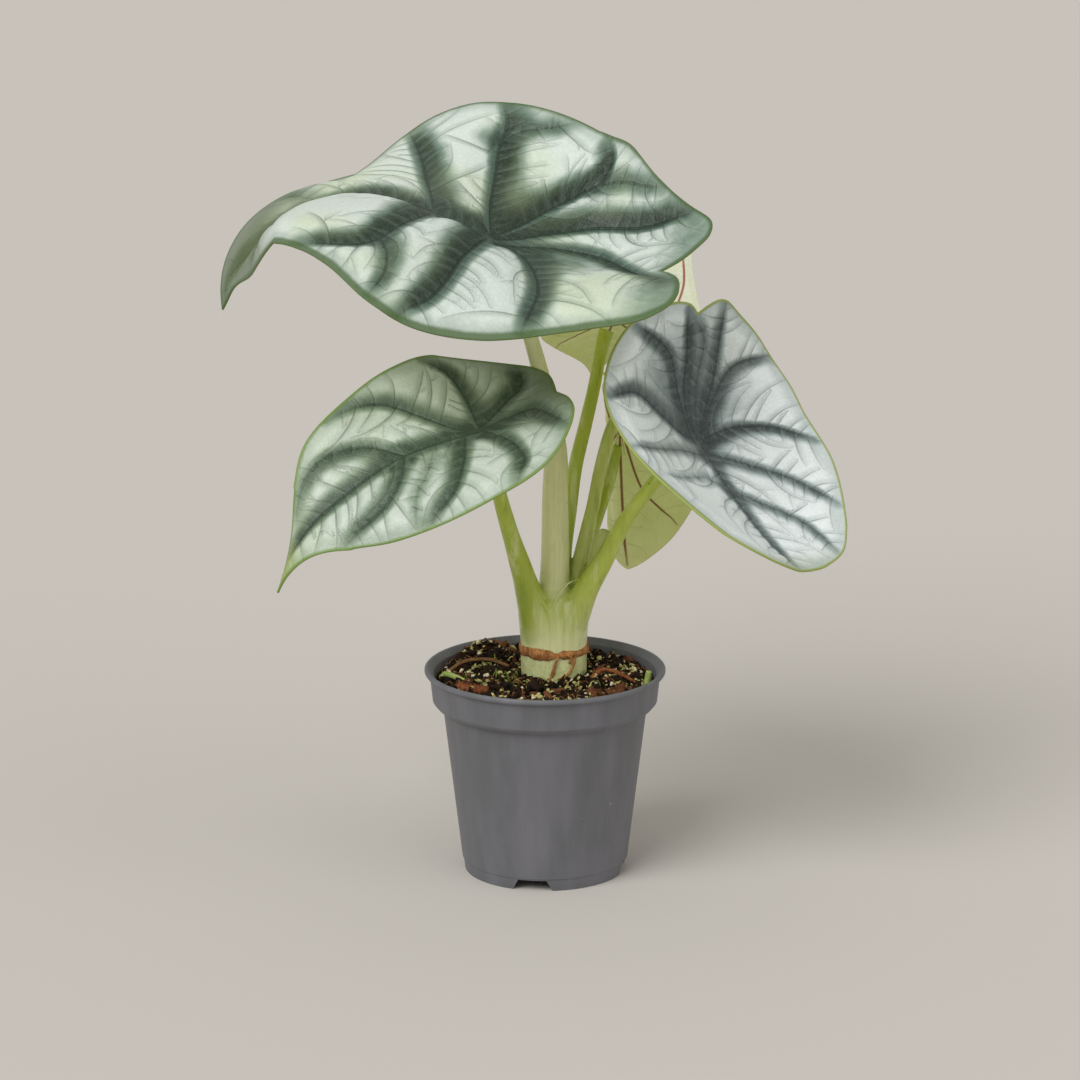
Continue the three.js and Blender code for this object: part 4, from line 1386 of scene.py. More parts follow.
LEAVES: dict[str, tuple[LeafShape, BladeFinish]] = {
    "leaf_a": (LeafShape(
        seat=(-12.5, 0, 160), heading=161, pitch=-31, roll=-2, arch=(0.0175, 0.0095, -0.019), tip_from=48,
        curl_left=(0.013, -0.0001), curl_right=(-0.0225, 0.0003), twist=(0, -0.018),
        left=((87, 0), (79, 4.5), (69, 17), (56, 28), (41, 36), (29, 43), (15, 49), (0, 49), (-14, 42),
            (-24, 35), (-35, 30.5), (-46, 29.5), (-52.5, 25), (-51.5, 14), (-43, -3)),
        right=((87, 0), (82.5, 6.5), (78, 13.5), (72, 20), (63, 24), (54, 25.5), (46, 34), (38, 46),
            (26, 51.5), (10, 51.5), (-8, 49.8), (-24, 46), (-38, 36.5), (-49, 26.5), (-55, 19.5),
            (-54.5, 14.5), (-50, 10.5), (-43, 3)),
        veins=(
            Vein(1.0, -0.6, ((0, -2), (8, 1), (16, 1), (26.5, -2), (37, -5.5), (44, -6), (50, -3), (56, 3),
                             (65, 5), (78, -0.5), (83, 0))),
            Vein(0.85, -0.8, ((16, 1), (21.5, -11), (26.5, -21), (31, -31.5), (36, -42))),
            Vein(1.0, -0.9, ((2, -4), (8, -16.5), (12, -28), (15, -37.5), (16, -45.5), (18.5, -51))),
            Vein(0.55, 0, ((15.5, -40), (12.5, -43.5), (8.5, -46), (5, -49.5))),
            Vein(1.0, 0.9, ((1, -3.5), (-1, -14.5), (-4, -25), (-9, -32.5), (-14, -37), (-15, -43),
                (-11.5, -46.5))),
            Vein(0.6, 0, ((-14, -36.5), (-23.5, -37), (-37, -34.5))),
            Vein(1.0, 0.8, ((-0.5, -3), (-7.5, -16), (-19, -23.5), (-34, -24), (-48, -24.5))),
            Vein(0.9, -0.8, ((-2.5, -2.5), (-11, -11.5), (-22.5, -13.5), (-32.5, -7.5), (-48, 11))),
            Vein(1.0, 0.4, ((-3, -2), (-8, -1), (-14.5, 7.5), (-19, 18), (-20.5, 29))),
            Vein(1.0, -0.8, ((1, 2.5), (0.5, 17.5), (-1, 28), (-1.5, 37), (0.5, 46))),
            Vein(0.9, -0.8, ((16, 5), (18.5, 18), (20.5, 28), (26, 33.5), (39, 35.5))),
            Vein(0.7, 0.3, ((20, 27.5), (15.5, 33), (12.5, 40), (12.5, 48))),
            Vein(0.4, 0, ((48, -4), (56, -14), (62, -21))),
            Vein(0.35, 0, ((56, 3), (62, 11), (65, 17))),
        ),
        quilt=2.5, band=8.2, wide_margin=(1.1, 1, -60), rings=150, heart=(-18, 9, 0.45), lobe_darkening=(34, 50),
        tip_stain=(46, 66), net_gap=(3.0, 4.8), net_seed=11,
    ), SILVER_LEAF),
    "leaf_b": (LeafShape(
        seat=(-15.5, -20, 117), heading=206, pitch=6, roll=13, arch=(0.0144, 0.0115, -0.03), tip_from=45,
        curl_left=(-0.0036, 0.0006), curl_right=(-0.024, -0.0002), twist=(-0.0068, 0.047),
        left=((66.5, 0), (55, 4.8), (46, 10.7), (36, 17.6), (23.5, 22.7), (11.5, 26), (0, 27.2),
            (-11.5, 24.6), (-19.6, 16.8), (-21.9, 8), (-21.2, 0.2)),
        right=((66.5, 0), (54.5, 4.8), (45.7, 10.6), (36.5, 17.8), (23, 22.3), (11.5, 25.8), (0, 27.8),
            (-11.5, 24.7), (-20, 17), (-23, 8.3), (-21.2, -0.2)),
        veins=(
            Vein(1.0, -0.5, ((0.5, 0.5), (10.5, 0), (21, -1), (37, -0.5), (53, -1), (64, 0))),
            Vein(0.8, -0.5, ((5, -3), (12, -12), (17, -17), (24, -19.5), (30, -19.5))),
            Vein(0.8, 0.5, ((20, -1), (25.5, -8), (33, -11.5), (40, -11.5), (46, -8.5))),
            Vein(0.9, -0.6, ((-0.5, -2), (-2.5, -13), (-2, -21), (2, -25))),
            Vein(0.9, 0.6, ((-1.5, -2), (-10.5, -7.5), (-16.5, -10), (-19, -16))),
            Vein(0.8, -0.6, ((-1.5, -1), (-7.5, -1.5), (-14.5, 1.5), (-16, 15.5))),
            Vein(0.9, -0.6, ((-1, 0.5), (-3.5, 8.5), (-2.5, 19), (1, 24))),
            Vein(0.9, -0.6, ((5, 2), (10, 11), (16, 17.5), (24, 20.5))),
            Vein(0.8, -0.6, ((20.5, 0), (24.5, 5.5), (31.5, 9.5), (42, 10))),
            Vein(0.4, 0, ((14.5, 3.5), (18.5, 8.5), (24, 12.5), (28, 18))),
        ),
        quilt=1.6, band=5.8, rings=110, heart=(-8, 9, 0.45), lobe_darkening=(4, 22), tip_stain=(52, 62),
        net_gap=(2.8, 4.4), net_seed=23,
    ), GREEN_LEAF),
    "leaf_c": (LeafShape(
        seat=(37.5, -3, 110.5), heading=-54.5, pitch=47.5, roll=16,
        arch=(-0.0106, -0.0166, -0.035), tip_from=36,
        curl_left=(-0.0215, -0.0002), curl_right=(-0.007, -0.0002), twist=(-0.0013, -0.0043),
        left=((46, 0), (45.4, 4.5), (44.5, 11), (41, 20), (29, 28.2), (15, 33.2), (0, 33.6), (-15, 31.5),
            (-27.5, 22.8), (-34.3, 12.6), (-37, 5.4), (-32.3, 0.2)),
        right=((46, 0), (46.6, 4), (45.5, 10.5), (41, 19.5), (29, 28.2), (15, 33.2), (0, 33.2), (-14.5, 31),
            (-27.5, 23.2), (-34, 12.5), (-34.8, 5), (-32.3, -0.2)),
        veins=(
            Vein(0.75, 0.3, ((1.5, 0.5), (9, 1), (17.5, 1), (26.5, 0.5), (40, -1))),
            Vein(0.85, -0.7, ((-1, 3.5), (-3, 14), (-1, 23.5), (5.5, 31))),
            Vein(0.62, -0.6, ((4, 2.5), (8, 11.5), (15.5, 21), (27, 26.5))),
            Vein(0.55, -0.6, ((15, 1.5), (20, 8), (28.5, 15), (41, 17))),
            Vein(0.8, -0.5, ((-2.5, 3.5), (-12, 10), (-20, 16), (-24, 26))),
            Vein(0.9, 0.6, ((-2.5, 3), (-14.5, 9.5), (-25, 10), (-36.5, 7))),
            Vein(0.5, 0, ((-2.5, 1.5), (-14.5, 4), (-26, 4.5), (-33.5, -4.5))),
            Vein(0.9, -0.6, ((-2.5, -0.5), (-12, -0.5), (-22, 0), (-31, -3.5))),
            Vein(0.9, 0.6, ((-2.5, -1.5), (-12, -2.5), (-22, -6.5), (-28, -19.5))),
            Vein(0.9, -0.6, ((-1, -4), (-7, -11.5), (-12, -19.5), (-10.5, -30.5))),
            Vein(0.6, 0, ((4.5, -1), (3.5, -9.5), (4.5, -23.5))),
            Vein(0.4, 0, ((15, -0.5), (12, -6), (13.5, -18))),
        ),
        quilt=1.5, band=4.5, wide_margin=(1.5, -1, 4), rings=110, heart=(-13, 15, 0.62), tip_stain=(38, 50),
        net_gap=(2.4, 3.8), net_seed=37,
    ), COOL_LEAF),
    "leaf_d": (LeafShape(
        seat=(19, 24.6, 105.5), heading=80, pitch=78, roll=0, arch=(-0.004, -0.02, -0.03), tip_from=24,
        curl_left=(-0.24, 0), curl_right=(0.008, 0), twist=(0, 0),
        left=((41, 0), (36, 3.5), (24, 7.5), (6, 11), (-9, 11), (-16, 7), (-13, 0.2)),
        right=((41, 0), (37, 5), (26, 14), (12, 20.5), (-4, 20.5), (-16, 12), (-13, -0.2)),
        veins=(
            Vein(1.0, 0, ((0, 0), (14, 0), (38, 0))),
            Vein(1.0, 0, ((0, -1), (14, -5), (21, -11))),
            Vein(1.0, 0, ((-1, -1), (-2, -9), (2, -16))),
            Vein(1.0, 0, ((-1, 0), (-9, -4), (-15, -8))),
            Vein(1.0, 0, ((0, 1), (10, 6), (18, 10))),
            Vein(1.0, 0, ((-1, 1), (-9, 4), (-15, 7))),
        ),
        quilt=1.5, band=4.4, rings=72, fine=Side.LOWER, quilt_width=3.0, net_gap=(3.5, 6.0), net_seed=41,
    ), BACK_LEAF),
    "leaf_e": (LeafShape(
        seat=(17, 19, 136.5), heading=104, pitch=36, roll=0, arch=(0.004, 0.01, 0.012), tip_from=24,
        curl_left=(0.012, 0), curl_right=(0.012, 0), twist=(0, 0),
        left=((28.5, 0), (22.5, 3.5), (13, 12), (3, 18.5), (-7, 18), (-14, 10), (-11, 0.2)),
        right=((28.5, 0), (23, 3), (14, 7.5), (4, 10.5), (-7, 11), (-14, 7), (-11, -0.2)),
        veins=(
            Vein(1.0, 0, ((0, 0), (14, 0), (27, 0))),
            Vein(1.0, 0, ((0, 1), (7, 9), (11, 13))),
            Vein(1.0, 0, ((0, -1), (7, -6), (12, -8))),
            Vein(1.0, 0, ((-1, 1), (-7, 8), (-10, 14))),
            Vein(1.0, 0, ((-1, -1), (-7, -5), (-13, -7))),
        ),
        quilt=1.1, band=4.0, rings=72, fine=Side.LOWER, quilt_width=3.0, net_gap=(3.5, 6.0), net_seed=53,
    ), BACK_LEAF),
    "leaf_f": (LeafShape(
        seat=(30, 34, 131), heading=100, pitch=74, roll=0, arch=(0.0, 0.0, 0.004), tip_from=24,
        curl_left=(0.02, 0), curl_right=(0.02, 0), twist=(0, 0),
        left=((28, 0), (23, 2.5), (14, 6), (2, 8), (-12, 8.5), (-24, 5.5), (-20, 0.2)),
        right=((28, 0), (23, 3), (14, 8), (3, 10.8), (-8, 8), (-16, 6), (-24, 4.2), (-20, -0.2)),
        veins=(
            Vein(1.0, 0, ((0, 0), (14, 0), (27, 0))),
            Vein(1.0, 0, ((0, 1), (7, 4), (12, 6))),
            Vein(1.0, 0, ((0, -1), (6, -6), (12, -8))),
            Vein(1.0, 0, ((-1, 1), (-12, 4), (-20, 5))),
            Vein(1.0, 0, ((-1, -1), (-12, -4), (-22, -3))),
        ),
        quilt=0.5, band=3.2, rings=64, fine=Side.LOWER, net_gap=(4.0, 6.5), net_seed=61,
    ), CREAM_LEAF),
}


# Stem base and petioles


@dataclass(frozen=True)
class Route:
    """A tapered stem: the points it runs through, its radii, and how leafy and deep its green is."""

    points: tuple[Point3, ...]
    radii: tuple[float, ...]
    leafy: float
    deep: float = 0.0
    short: float = 1.8

    def sampled(self, count: int) -> tuple[Array, Array]:
        """Points along the stem, which stops short of its last one.

        Args:
            count: How many points.

        Returns:
            The points and the radius at each, in millimetres.
        """
        share = np.linspace(0, 1, 200)
        route = spline(self.points, share, Ends.EXTENDED)
        run = np.concatenate([[0], np.cumsum(np.linalg.norm(np.diff(route, axis=0), axis=1))])
        share = np.linspace(0, np.interp(run[-1] - self.short, run, share), count)
        return spline(self.points, share, Ends.EXTENDED), interpolated(self.radii, share)


@dataclass
class Stems:
    """Stem base, petioles and the cut stub, grown together as one skin."""

    axis: Vector
    centre: Point2 = (2.2, 3.5)
    sections: tuple[Point3, ...] = (
        (37, 7.2, 6.4), (47, 8.2, 7.2), (58, 8.3, 7.2), (65, 8.9, 7.0), (69, 8.6, 6.4), (71.5, 6.2, 4.4),
    )
    voxel: float = 0.34
    margin_radius: float = 0.36
    routes: dict[str, Route] = field(default_factory=lambda: {
        "petiole_a": Route(
            ((2, 3.5, 64), (2.5, 3, 78.5), (2.5, 3, 94), (2.5, 2.5, 107), (0.4, 2, 119.5), (-3, 1, 133.5),
             (-7.8, 0.5, 148.5), (-12.5, 0, 160.5)),
            (4.2, 3.6, 3.3, 2.9, 2.3, 1.9, 1.7, 1.0), 0.12, short=3.4),
        "petiole_b": Route(
            ((-0.4, 2.3, 57.5), (-5, -2, 75), (-8, -6, 86), (-10.5, -10, 96), (-12.5, -15, 106),
             (-15.5, -20, 117.5)),
            (4.9, 2.9, 2.2, 1.9, 1.6, 1.4), 0.9, 0.4),
        "petiole_c": Route(
            ((4.4, 3, 58), (10, 0.5, 71.5), (14.5, -1, 79.5), (19.5, -2, 89.5), (23.5, -2.5, 95.5),
             (28, -2, 101), (33, -1.5, 106.5), (37.5, -3, 111)),
            (4.9, 3.2, 2.4, 1.9, 1.8, 1.7, 1.6, 1.5), 0.85, 0.15),
        "petiole_e": Route(
            ((4, 7, 66), (4.5, 9, 79), (6, 10.5, 89), (7.5, 12, 100), (10, 13.5, 110.5), (12, 15, 119),
             (13.5, 16.5, 126.5), (15, 18, 132.5), (17, 19, 137)),
            (2.6, 2.2, 1.9, 1.8, 1.7, 1.6, 1.6, 1.9, 2.0), 0.9, 0.08, short=3.8),
        "petiole_f": Route(
            ((7, 5, 67), (8.5, 6.5, 75.5), (10.5, 8, 84.5), (12, 9.5, 91), (14, 12, 101), (16.5, 14.5, 109.5),
             (20.5, 17, 117), (26, 23, 124.5), (30, 34, 131.5)),
            (2.4, 2.2, 1.9, 1.7, 1.6, 1.5, 1.4, 1.4, 1.4), 0.65, 0.0),
        "petiole_d": Route(
            ((7, 8, 66), (9, 12, 76), (13, 18, 86), (16.5, 22.4, 95.5), (19, 24.6, 106)),
            (2.2, 2.0, 1.8, 1.6, 1.0), 0.9, 0.4, short=3.2),
        "petiole_stub": Route(
            ((9.5, 2.5, 69), (11.5, 4, 77), (14, 4, 82.5), (15.2, 3.9, 86)),
            (1.5, 1.2, 1.2, 2.1, 2.3, 1.4), 0.55, short=0),
    })
    margins: tuple[tuple[Point3, ...], ...] = (
        ((-4.2, -2.4, 76), (-1.7, -2.9, 72), (1.0, -3.5, 66.2), (1.5, -3.6, 62)),
        ((9.8, -2.2, 75.5), (5.5, -2.6, 73.9), (2.2, -3.2, 68.8), (1.4, -3.6, 64)),
    )

    def _stem_base(self) -> bpy.types.Object:
        """Trunk of wrapped sheaths, a lofted column.

        Returns:
            The column as a closed mesh.
        """
        sides = 48
        angle = round_ring(sides)
        rings = []
        for height, width, depth in self.sections:
            x, y = self.centre[0] + width * np.cos(angle), self.centre[1] + depth * np.sin(angle)
            rings.append(np.stack([x, y, np.full(sides, height)], 1))
        piece = mesh_piece("stem_core", placed(np.vstack(rings), self.axis), loft(len(rings), sides))
        turn_outward(piece, lambda: bpy.ops.mesh.fill_holes(sides=0))
        return piece

    def build(self) -> bpy.types.Object:
        """Grows all the stems into one skin.

        Returns:
            The skin, with marks for its greens.
        """
        parts = [self._stem_base()]
        for name, route in self.routes.items():
            line, radii = route.sampled(48)
            parts.append(tube(name + "_core", placed(line, self.axis), radii * MM, 20))
        for number, margin in enumerate(self.margins):
            line = spline(margin, np.linspace(0, 1, 24), Ends.EXTENDED)
            radii = self.margin_radius * np.sin(np.linspace(0.15, math.pi - 0.05, 24)) ** 0.8
            parts.append(tube(f"margin_{number}", placed(line, self.axis), radii * MM, 10))
        skin = join("stems", parts)
        apply_modifier(skin, "REMESH", mode="VOXEL", voxel_size=self.voxel * MM)
        apply_modifier(skin, "SMOOTH", factor=0.5, iterations=3)
        pick(skin)
        bpy.ops.object.shade_smooth()
        self._mark(skin)
        return finished(skin, PETIOLE_SKIN.material(), "petiole", "stem_base", *self.routes)

    def _mark(self, skin: bpy.types.Object) -> None:
        """Stores the greens of the nearest stems, and painted shade in the grooves where two stems meet.

        Args:
            skin: The grown skin.
        """
        points = (points_of(skin) - np.array(self.axis)) / MM
        weights, leafy, deep = (np.full(len(points), 1e-6) for _ in range(3))
        nearest = np.full((2, len(points)), 50.0)
        for route in self.routes.values():
            line, radii = route.sampled(60)
            gap = np.full(len(points), np.inf)
            for spot, radius in zip(line, radii):
                gap = np.minimum(gap, np.linalg.norm(points - spot, axis=1) - radius)
            weight = np.exp(-np.maximum(gap, 0) / 0.5)
            weights += weight
            leafy += weight * route.leafy
            deep += weight * route.deep
            first = gap < nearest[0]
            nearest[1] = np.where(first, nearest[0], np.minimum(nearest[1], gap))
            nearest[0] = np.where(first, gap, nearest[0])
        x, _, z = points.T
        low = smoothstep(55, 74, z)
        # Below the two sheath lips the skin turns greener and deeper green: the green of the sheaths, with
        # painted shade under the lips.
        green_and_shade_under_lips = np.exp(-((x + 4.8) / 2.6) ** 2 - ((z - 67) / 7) ** 2)
        green_and_shade_under_lips += np.exp(-((x - 5.5) / 3.0) ** 2 - ((z - 67) / 7) ** 2)
        # Painted shade in the groove where two stems run close together.
        close = np.exp(-np.abs(nearest[1] - nearest[0]) / 0.45) * (nearest[1] < 0.8)
        add_marks(skin, {
            "leafy": leafy / weights * low + 0.75 * green_and_shade_under_lips * (1 - low),
            "deep": deep / weights * low + 0.45 * green_and_shade_under_lips,
            "furrow_shade": close * smoothstep(70, 76, z),
            "base": 1 - smoothstep(49, 60, z),
        })


# Pot


@dataclass
class NurseryPot:
    """Thin-walled round pot with a deep collar, a tapered body and notches in its foot."""

    axis: Vector
    height: float = 52.0
    lip_radius: float = 30.0
    collar_radius: float = 28.7
    collar_foot_radius: float = 28.0
    collar_depth: float = 9.4
    body_top_radius: float = 25.4
    foot_radius: float = 20.1
    wall: float = 1.1
    floor_height: float = 2.7
    floor: float = 1.0
    sides: int = 128
    notch_count: int = 4
    notch_first: float = -99.0
    notch_widths: Point2 = (9.7, 7.1)
    drain_slot: Point2 = (6.0, 4.0)
    drain_radius: float = 15.5

    def profile(self) -> list[Point2]:
        """Lists the rings of the shell, from under the floor round the outside to the inner floor.

        Returns:
            Radius and height of each ring, in millimetres.
        """
        body_top = self.height - self.collar_depth
        inner_foot = self.foot_radius - self.wall
        inner_top = self.body_top_radius - self.wall
        return [
            (inner_foot, self.floor_height), (inner_foot, 0), (self.foot_radius, 0),
            (self.foot_radius + 0.35, self.floor_height + 0.2),
            (self.foot_radius + 0.65, self.floor_height + 0.5), (self.body_top_radius, body_top - 0.8),
            (self.body_top_radius + 0.3, body_top - 0.2), (self.collar_foot_radius - 0.9, body_top + 0.1),
            (self.collar_foot_radius, body_top + 1.2), (self.collar_radius, self.height - 1.7),
            (self.lip_radius - 0.3, self.height - 1.3), (self.lip_radius, self.height - 0.9),
            (self.lip_radius, self.height - 0.35), (self.lip_radius - 0.3, self.height),
            (self.lip_radius - 0.9, self.height), (self.collar_radius - self.wall + 0.1, self.height - 1.4),
            (self.collar_foot_radius - self.wall, body_top + 1.6), (inner_top + 0.2, body_top + 0.9),
            (inner_top, body_top + 0.2), (inner_foot + 0.6, self.floor_height + self.floor),
        ]

    def build(self) -> bpy.types.Object:
        """Draws the shell up ring by ring and cuts its notches and drain slots.

        Returns:
            The pot.
        """
        rings = self.profile()
        centre = (self.axis.x, self.axis.y)
        radius, level = rings[0]
        pick()
        bpy.ops.mesh.primitive_circle_add(
            vertices=self.sides, radius=radius * MM, fill_type="NGON", location=(*centre, level * MM),
        )
        pot = bpy.context.object
        pot.name = pot.data.name = "nursery_pot"
        bpy.ops.object.transform_apply(location=True)
        bpy.ops.object.mode_set(mode="EDIT")
        bpy.ops.mesh.select_mode(type="EDGE")
        bpy.ops.mesh.select_all(action="SELECT")
        bpy.ops.mesh.region_to_loop()
        for next_radius, next_level in rings[1:]:
            rise = (next_level - level) * MM
            bpy.ops.mesh.extrude_edges_move(TRANSFORM_OT_translate={"value": (0, 0, rise)})
            grow = next_radius / radius
            bpy.ops.transform.resize(value=(grow, grow, 1), center_override=(*centre, next_level * MM))
            radius, level = next_radius, next_level
        bpy.ops.mesh.edge_face_add()
        bpy.ops.mesh.select_all(action="SELECT")
        bpy.ops.mesh.normals_make_consistent(inside=False)
        bpy.ops.object.mode_set(mode="OBJECT")
        for k in range(self.notch_count):
            angle = math.radians(self.notch_first + 360 / self.notch_count * k)
            self._cut(pot, self._notch_cutter(angle))
            self._cut(pot, self._drain_cutter(angle))
        apply_modifier(
            pot, "BEVEL", width=0.22 * MM, segments=2, limit_method="ANGLE", angle_limit=math.radians(28),
            harden_normals=False,
        )
        pick(pot)
        bpy.ops.object.shade_smooth_by_angle(angle=math.radians(35))
        return finished(pot, GREY_PLASTIC.material(), "pot", "pot")

    def _notch_cutter(self, angle: float) -> bpy.types.Object:
        """Wedge that is wide at the bottom, for one notch of the foot ring.

        Args:
            angle: Where the notch is, in radians.

        Returns:
            The wedge.
        """
        low, high = (w / 2 for w in self.notch_widths)
        top = self.floor_height
        outline = ((-low - 0.3, -0.3), (low + 0.3, -0.3), (high, top), (-high, top))
        near, far = self.foot_radius - 4, self.foot_radius + 4
        points = np.array([(r, y, z) for r in (near, far) for y, z in outline])
        return self._turned("notch_cutter", points, angle)

    def _drain_cutter(self, angle: float) -> bpy.types.Object:
        """Block for one drain slot of the floor.

        Args:
            angle: Where the slot is, in radians.

        Returns:
            The block.
        """
        wide, deep = self.drain_slot[0] / 2, self.drain_slot[1] / 2
        middle = self.floor_height + self.floor / 2
        corners = [
            (self.drain_radius + x, y, middle + z)
            for x in (-deep, deep) for y, z in ((-wide, -1.5), (wide, -1.5), (wide, 1.5), (-wide, 1.5))
        ]
        return self._turned("drain_cutter", np.array(corners), angle)

    def _turned(self, name: str, points: Array, angle: float) -> bpy.types.Object:
        """Cutter with six faces, turned round the pot axis.

        Args:
            name: Name of the cutter.
            points: Its eight corners, four near the axis and four far from it.
            angle: How far it is turned, in radians.

        Returns:
            The cutter.
        """
        faces = np.array([(3, 2, 1, 0), (4, 5, 6, 7), (0, 1, 5, 4), (1, 2, 6, 5), (2, 3, 7, 6), (3, 0, 4, 7)])
        c, s = math.cos(angle), math.sin(angle)
        x, y, z = points.T
        corners = np.stack([c * x - s * y, s * x + c * y, z], 1)
        cutter = mesh_piece(name, placed(corners, self.axis), faces)
        turn_outward(cutter)
        return cutter

    @staticmethod
    def _cut(body: bpy.types.Object, cutter: bpy.types.Object) -> None:
        """Takes the cutter out of the body and removes it."""
        apply_modifier(body, "BOOLEAN", operation="DIFFERENCE", object=cutter, solver="EXACT")
        bpy.data.objects.remove(cutter)


# Soil and what lies on it


@dataclass(frozen=True)
class Lumps:
    """Rough lumps scattered over the soil, in millimetres.

    The sizes are the smallest and the largest radius, the form is the stretch of each along its axes, and the
    rise is how far they lie above the soil, on top of other lumps.
    """

    name: str
    count: int
    sizes: Point2
    form: Point3
    finish: GroundFinish
    slot: str
    seed: int
    rise: float = 0.0
    clumped: bool = False


@dataclass(frozen=True)
class Fibres:
    """Thin curved fibres scattered over the soil, or short ones along the streak of moss left of the stem."""

    name: str
    count: int
    finish: GroundFinish
    slot: str
    seed: int
    streaked: bool = False


@dataclass
class SoilBed:
    """Peat mix that fills the pot, with crumbs, chips, moss and fibres on it."""

    axis: Vector
    level: float = 48.2
    mound: float = 1.4
    heap: float = 4.0
    roughness: float = 0.35
    radius: float = 27.2
    stem: Point2 = (2.2, 3.5)
    stem_clear: float = 9.0
    rings: int = 90
    skirt: tuple[Point2, ...] = ((27.0, 46.8), (26.6, 44.8), (24.0, 44.0), (24.0, 42.8), (19.2, 4.0))
    seed: int = 5
    lumps: tuple[Lumps, ...] = (
        Lumps("peat_clods", 90, (1.2, 2.2), (1, 1, 0.6), PEAT, "soil", 31),
        Lumps("peat_crumbs", 620, (0.45, 1.2), (1, 1, 0.8), PEAT, "soil", 11),
        Lumps("bark_bits", 90, (0.5, 1.7), (1.7, 0.8, 0.5), BARK, "bark", 13, 0.3),
        Lumps("perlite_grains", 130, (0.3, 0.8), (1.2, 0.9, 0.7), PERLITE, "soil", 17, 0.6),
        Lumps("moss_crumbs", 520, (0.3, 0.85), (1.4, 0.8, 0.45), MOSS, "soil", 19, 0.6, clumped=True),
    )
    fibres: tuple[Fibres, ...] = (
        Fibres("soil_fibres", 150, FIBRE, "bark", 23),
        Fibres("moss_strands", 60, SPRIG, "soil", 29, streaked=True),
    )

    def height(self, x: Array, y: Array) -> Array:
        """Height of the smooth soil surface.

        Args:
            x, y: Coordinates of each point.

        Returns:
            One height for each point, in millimetres.
        """
        from_stem = np.hypot(x - self.stem[0], y - self.stem[1])
        mound = self.mound * np.exp(-((from_stem / 15) ** 2))
        heap = self.heap * np.exp(-(((x + 16) / 8.5) ** 2) - ((y - 19) / 7.5) ** 2)
        coarse = np.sin(0.55 * x + 1.3) * np.sin(0.62 * y + 0.4)
        fine = np.sin(1.35 * x - 0.7 * y) * np.sin(1.1 * y + 0.9 * x + 2)
        return self.level + mound + heap + self.roughness * (coarse + fine)

    def _crumbled(self, x: Array, y: Array) -> Array:
        """Small clods, as sums of waves in many directions.

        Args:
            x, y: Coordinates of each point.

        Returns:
            How far each point lies above the smooth surface, in millimetres.
        """
        random = np.random.default_rng(self.seed)
        total = np.zeros_like(x)
        for wave in np.geomspace(4.0, 0.9, 26):
            angle = random.uniform(0, 2 * math.pi)
            phase = random.uniform(0, 2 * math.pi)
            along = x * math.cos(angle) + y * math.sin(angle)
            total += wave**0.8 * np.sin(2 * math.pi / wave * along + phase)
        return 0.085 * total

    def surface(self, x: Array, y: Array) -> Array:
        """Height of the soil with its small clods, in millimetres."""
        return self.height(x, y) + self._crumbled(x, y)

    def build(self) -> list[bpy.types.Object]:
        """Builds the bed and everything scattered on it.

        Returns:
            All the pieces.
        """
        reach, turn, faces = disc_grid(self.rings)
        angle = turn * 2 * math.pi
        x, y = self.radius * reach * np.cos(angle), self.radius * reach * np.sin(angle)
        points = [np.stack([x, y, self.surface(x, y)], 1)]
        count = 6 * self.rings
        ring = round_ring(count)
        upper = len(x) - count + np.arange(count)
        triangles = [faces]
        for radius, level in self.skirt:
            points.append(np.stack([radius * np.cos(ring), radius * np.sin(ring), np.full(count, level)], 1))
            lower = upper + count
            upper_next, lower_next = np.roll(upper, -1), np.roll(lower, -1)
            triangles.append(np.stack([upper, lower, lower_next], 1))
            triangles.append(np.stack([upper, lower_next, upper_next], 1))
            upper = lower
        points.append(np.array([[0.0, 0.0, self.skirt[-1][1]]]))
        triangles.append(np.stack([lower, np.full(count, lower[-1] + 1), lower_next], 1))
        everything = np.vstack(points)
        shade = np.clip(0.5 + 0.5 * np.sin(everything[:, 0] * 1.7) * np.sin(everything[:, 1] * 1.3), 0, 1)
        everything = placed(everything, self.axis)
        bed = mesh_piece("soil_bed", everything, np.concatenate(triangles), {"shade": shade})
        pieces = [finished(bed, PEAT.material(), "soil", "soil")]
        pieces += [self._scatter(lumps) for lumps in self.lumps]
        pieces += [self._strew(fibres) for fibres in self.fibres]
        return pieces

    def _spot(self, random: np.random.Generator, clumped: bool = False, streaked: bool = False) -> Point2:
        """Draws a place on the soil that is clear of the stem.

        Args:
            random: Source of the draws.
            clumped: True where most places lie in clumps.
            streaked: True where most places lie in the streak of moss left of the stem.

        Returns:
            Both coordinates of the place.
        """
        while True:
            angle = random.uniform(0, 2 * math.pi)
            radius = (self.radius - 1.4) * math.sqrt(random.random())
            x, y = radius * math.cos(angle), radius * math.sin(angle)
            if streaked and random.random() < 0.75:
                share = random.random()
                x, y = -16 + 10 * share + random.normal(0, 1.3), 12 - 16 * share + random.normal(0, 1.3)
            if math.hypot(x - self.stem[0], y - self.stem[1]) < self.stem_clear:
                continue
            thick = 0.5 + 0.5 * math.sin(0.5 * x + 1.0) * math.sin(0.45 * y + 2.0)
            if not clumped or random.random() < thick:
                return x, y

